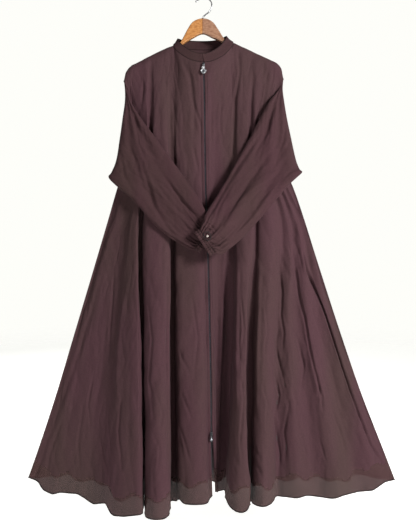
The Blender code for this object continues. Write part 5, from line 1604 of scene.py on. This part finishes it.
# The hanger
def build_hanger():
    outline = np.array(wood_outline())
    wrapped = np.concatenate((outline[-3:], outline, outline[:4]))
    knots = summed(np.sqrt(np.linalg.norm(np.diff(wrapped, axis=0), axis=1)))
    places = 3 + np.arange(len(outline) * 7) / 7
    shape = smooth(knots, wrapped, np.interp(places, range(len(knots)), knots))
    wood = outline_plate("hanger_arms", shape.tolist(), 0.0, WOOD_THICK, WOOD_ROUND, WOOD, "wood")
    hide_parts("hanger_wood")
    centre_z = -HOOK_RADIUS + HOOK_WIRE
    route = [(x, centre_z + z) for x, z in HOOK_TIP]
    for i in range(1, 24):
        angle = math.radians(140 - 7.9 * i)
        route.append((HOOK_RADIUS * math.cos(angle), centre_z + HOOK_RADIUS * math.sin(angle)))
    route += [(x, centre_z + z) for x, z in HOOK_SHANK] + [HOOK_FOOT]
    route = np.array([(x, 0.0, z) for x, z in route])
    knots = line_run(route)
    fine = smooth(knots, route, np.linspace(0.0, knots[-1], 150))
    hook = tube("hanger_wire", fine, HOOK_WIRE, STEEL, "steel", sides=6)
    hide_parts("hanger_hook")
    washer = turned("hanger_washer", WASHER, (0.0, 0.0, 0.0), 28, STEEL)
    washer.rotation_euler = (-math.pi / 2, 0.0, 0.0)
    washer.location = WASHER_PLACE


# The floor, the light and the camera
def build_floor():
    """A pale glowing floor that fades out all round."""
    mesh = bpy.data.meshes.new("floor")
    bm = bmesh.new()
    bmesh.ops.create_grid(bm, x_segments=24, y_segments=24, size=FLOOR_HALF)
    bm.to_mesh(mesh)
    bm.free()
    made, tree, shader = tree_of("floor", 0.9)
    tone = ramp(tree, noise(tree, 2.0, 2.0), ((0.3, (0.86, 0.86, 0.84)), (0.7, (0.90, 0.90, 0.88))))
    tree.links.new(tone, shader.inputs["Base Color"])
    set_inputs(shader, {"Emission Color": (1.0, 1.0, 0.97, 1.0), "Emission Strength": FLOOR_GLOW})
    place = tree.nodes.new("ShaderNodeTexCoord")
    length = tree.nodes.new("ShaderNodeVectorMath")
    length.operation = "LENGTH"
    fade = tree.nodes.new("ShaderNodeMapRange")
    set_inputs(fade, {"From Min": FLOOR_FADE[0], "From Max": FLOOR_FADE[1], "To Min": 1.0, "To Max": 0.0})
    fade.interpolation_type = "SMOOTHSTEP"
    tree.links.new(place.outputs["Object"], length.inputs[0])
    tree.links.new(length.outputs["Value"], fade.inputs["Value"])
    tree.links.new(fade.outputs["Result"], shader.inputs["Alpha"])
    mesh.materials.append(made)
    floor = in_scene("floor", mesh)
    floor.location = (0.0, 0.0, FLOOR_Z)


def add_light(name, place, aim, size, power):
    light = bpy.data.lights.new(name, "AREA")
    light.shape = "RECTANGLE"
    light.size, light.size_y = size
    light.energy = power
    lamp = in_scene(name, light)
    lamp.location = place
    lamp.rotation_euler = (Vector(aim) - Vector(place)).to_track_quat("-Z", "Y").to_euler()


def build_studio():
    build_floor()
    world = bpy.data.worlds.new("studio")
    world.use_nodes = True
    tree = world.node_tree
    seen = tree.nodes["Background"]
    glow = tree.nodes.new("ShaderNodeBackground")
    rays = tree.nodes.new("ShaderNodeLightPath")
    choice = tree.nodes.new("ShaderNodeMixShader")
    for background, strength in ((seen, 1.0), (glow, AMBIENT)):
        set_inputs(background, {"Color": (0.99, 0.99, 0.95, 1.0), "Strength": strength})
    tree.links.new(rays.outputs["Is Camera Ray"], choice.inputs["Fac"])
    tree.links.new(glow.outputs["Background"], choice.inputs[1])
    tree.links.new(seen.outputs["Background"], choice.inputs[2])
    tree.links.new(choice.outputs["Shader"], tree.nodes["World Output"].inputs["Surface"])
    bpy.context.scene.world = world
    for name, values in LIGHTS.items():
        add_light(name, *values)
    scene = bpy.context.scene
    scene.view_settings.view_transform = "Standard"
    camera = bpy.data.cameras.new("photo")
    camera.sensor_fit = "VERTICAL"
    camera.sensor_height = SENSOR_HEIGHT
    camera.lens = SENSOR_HEIGHT / 2 / (PICTURE_MIDDLE[1] * PIXEL / -CAMERA[1])
    camera.clip_end = 60.0
    eye = in_scene("photo", camera)
    eye.location = CAMERA
    eye.rotation_euler = (math.pi / 2, 0.0, 0.0)
    scene.camera = eye


build_studio()
GRIDS = build_panels()
for SIDE in ("right", "left"):
    build_sleeve(SIDE)
build_collar(GRIDS)
build_zip()
build_seams(GRIDS)
build_slider("top", SLIDER_TOP_Z, PULL_TOP, 1)
build_slider("bottom", SLIDER_BOTTOM_Z, PULL_BOTTOM, -1)
build_hanger()
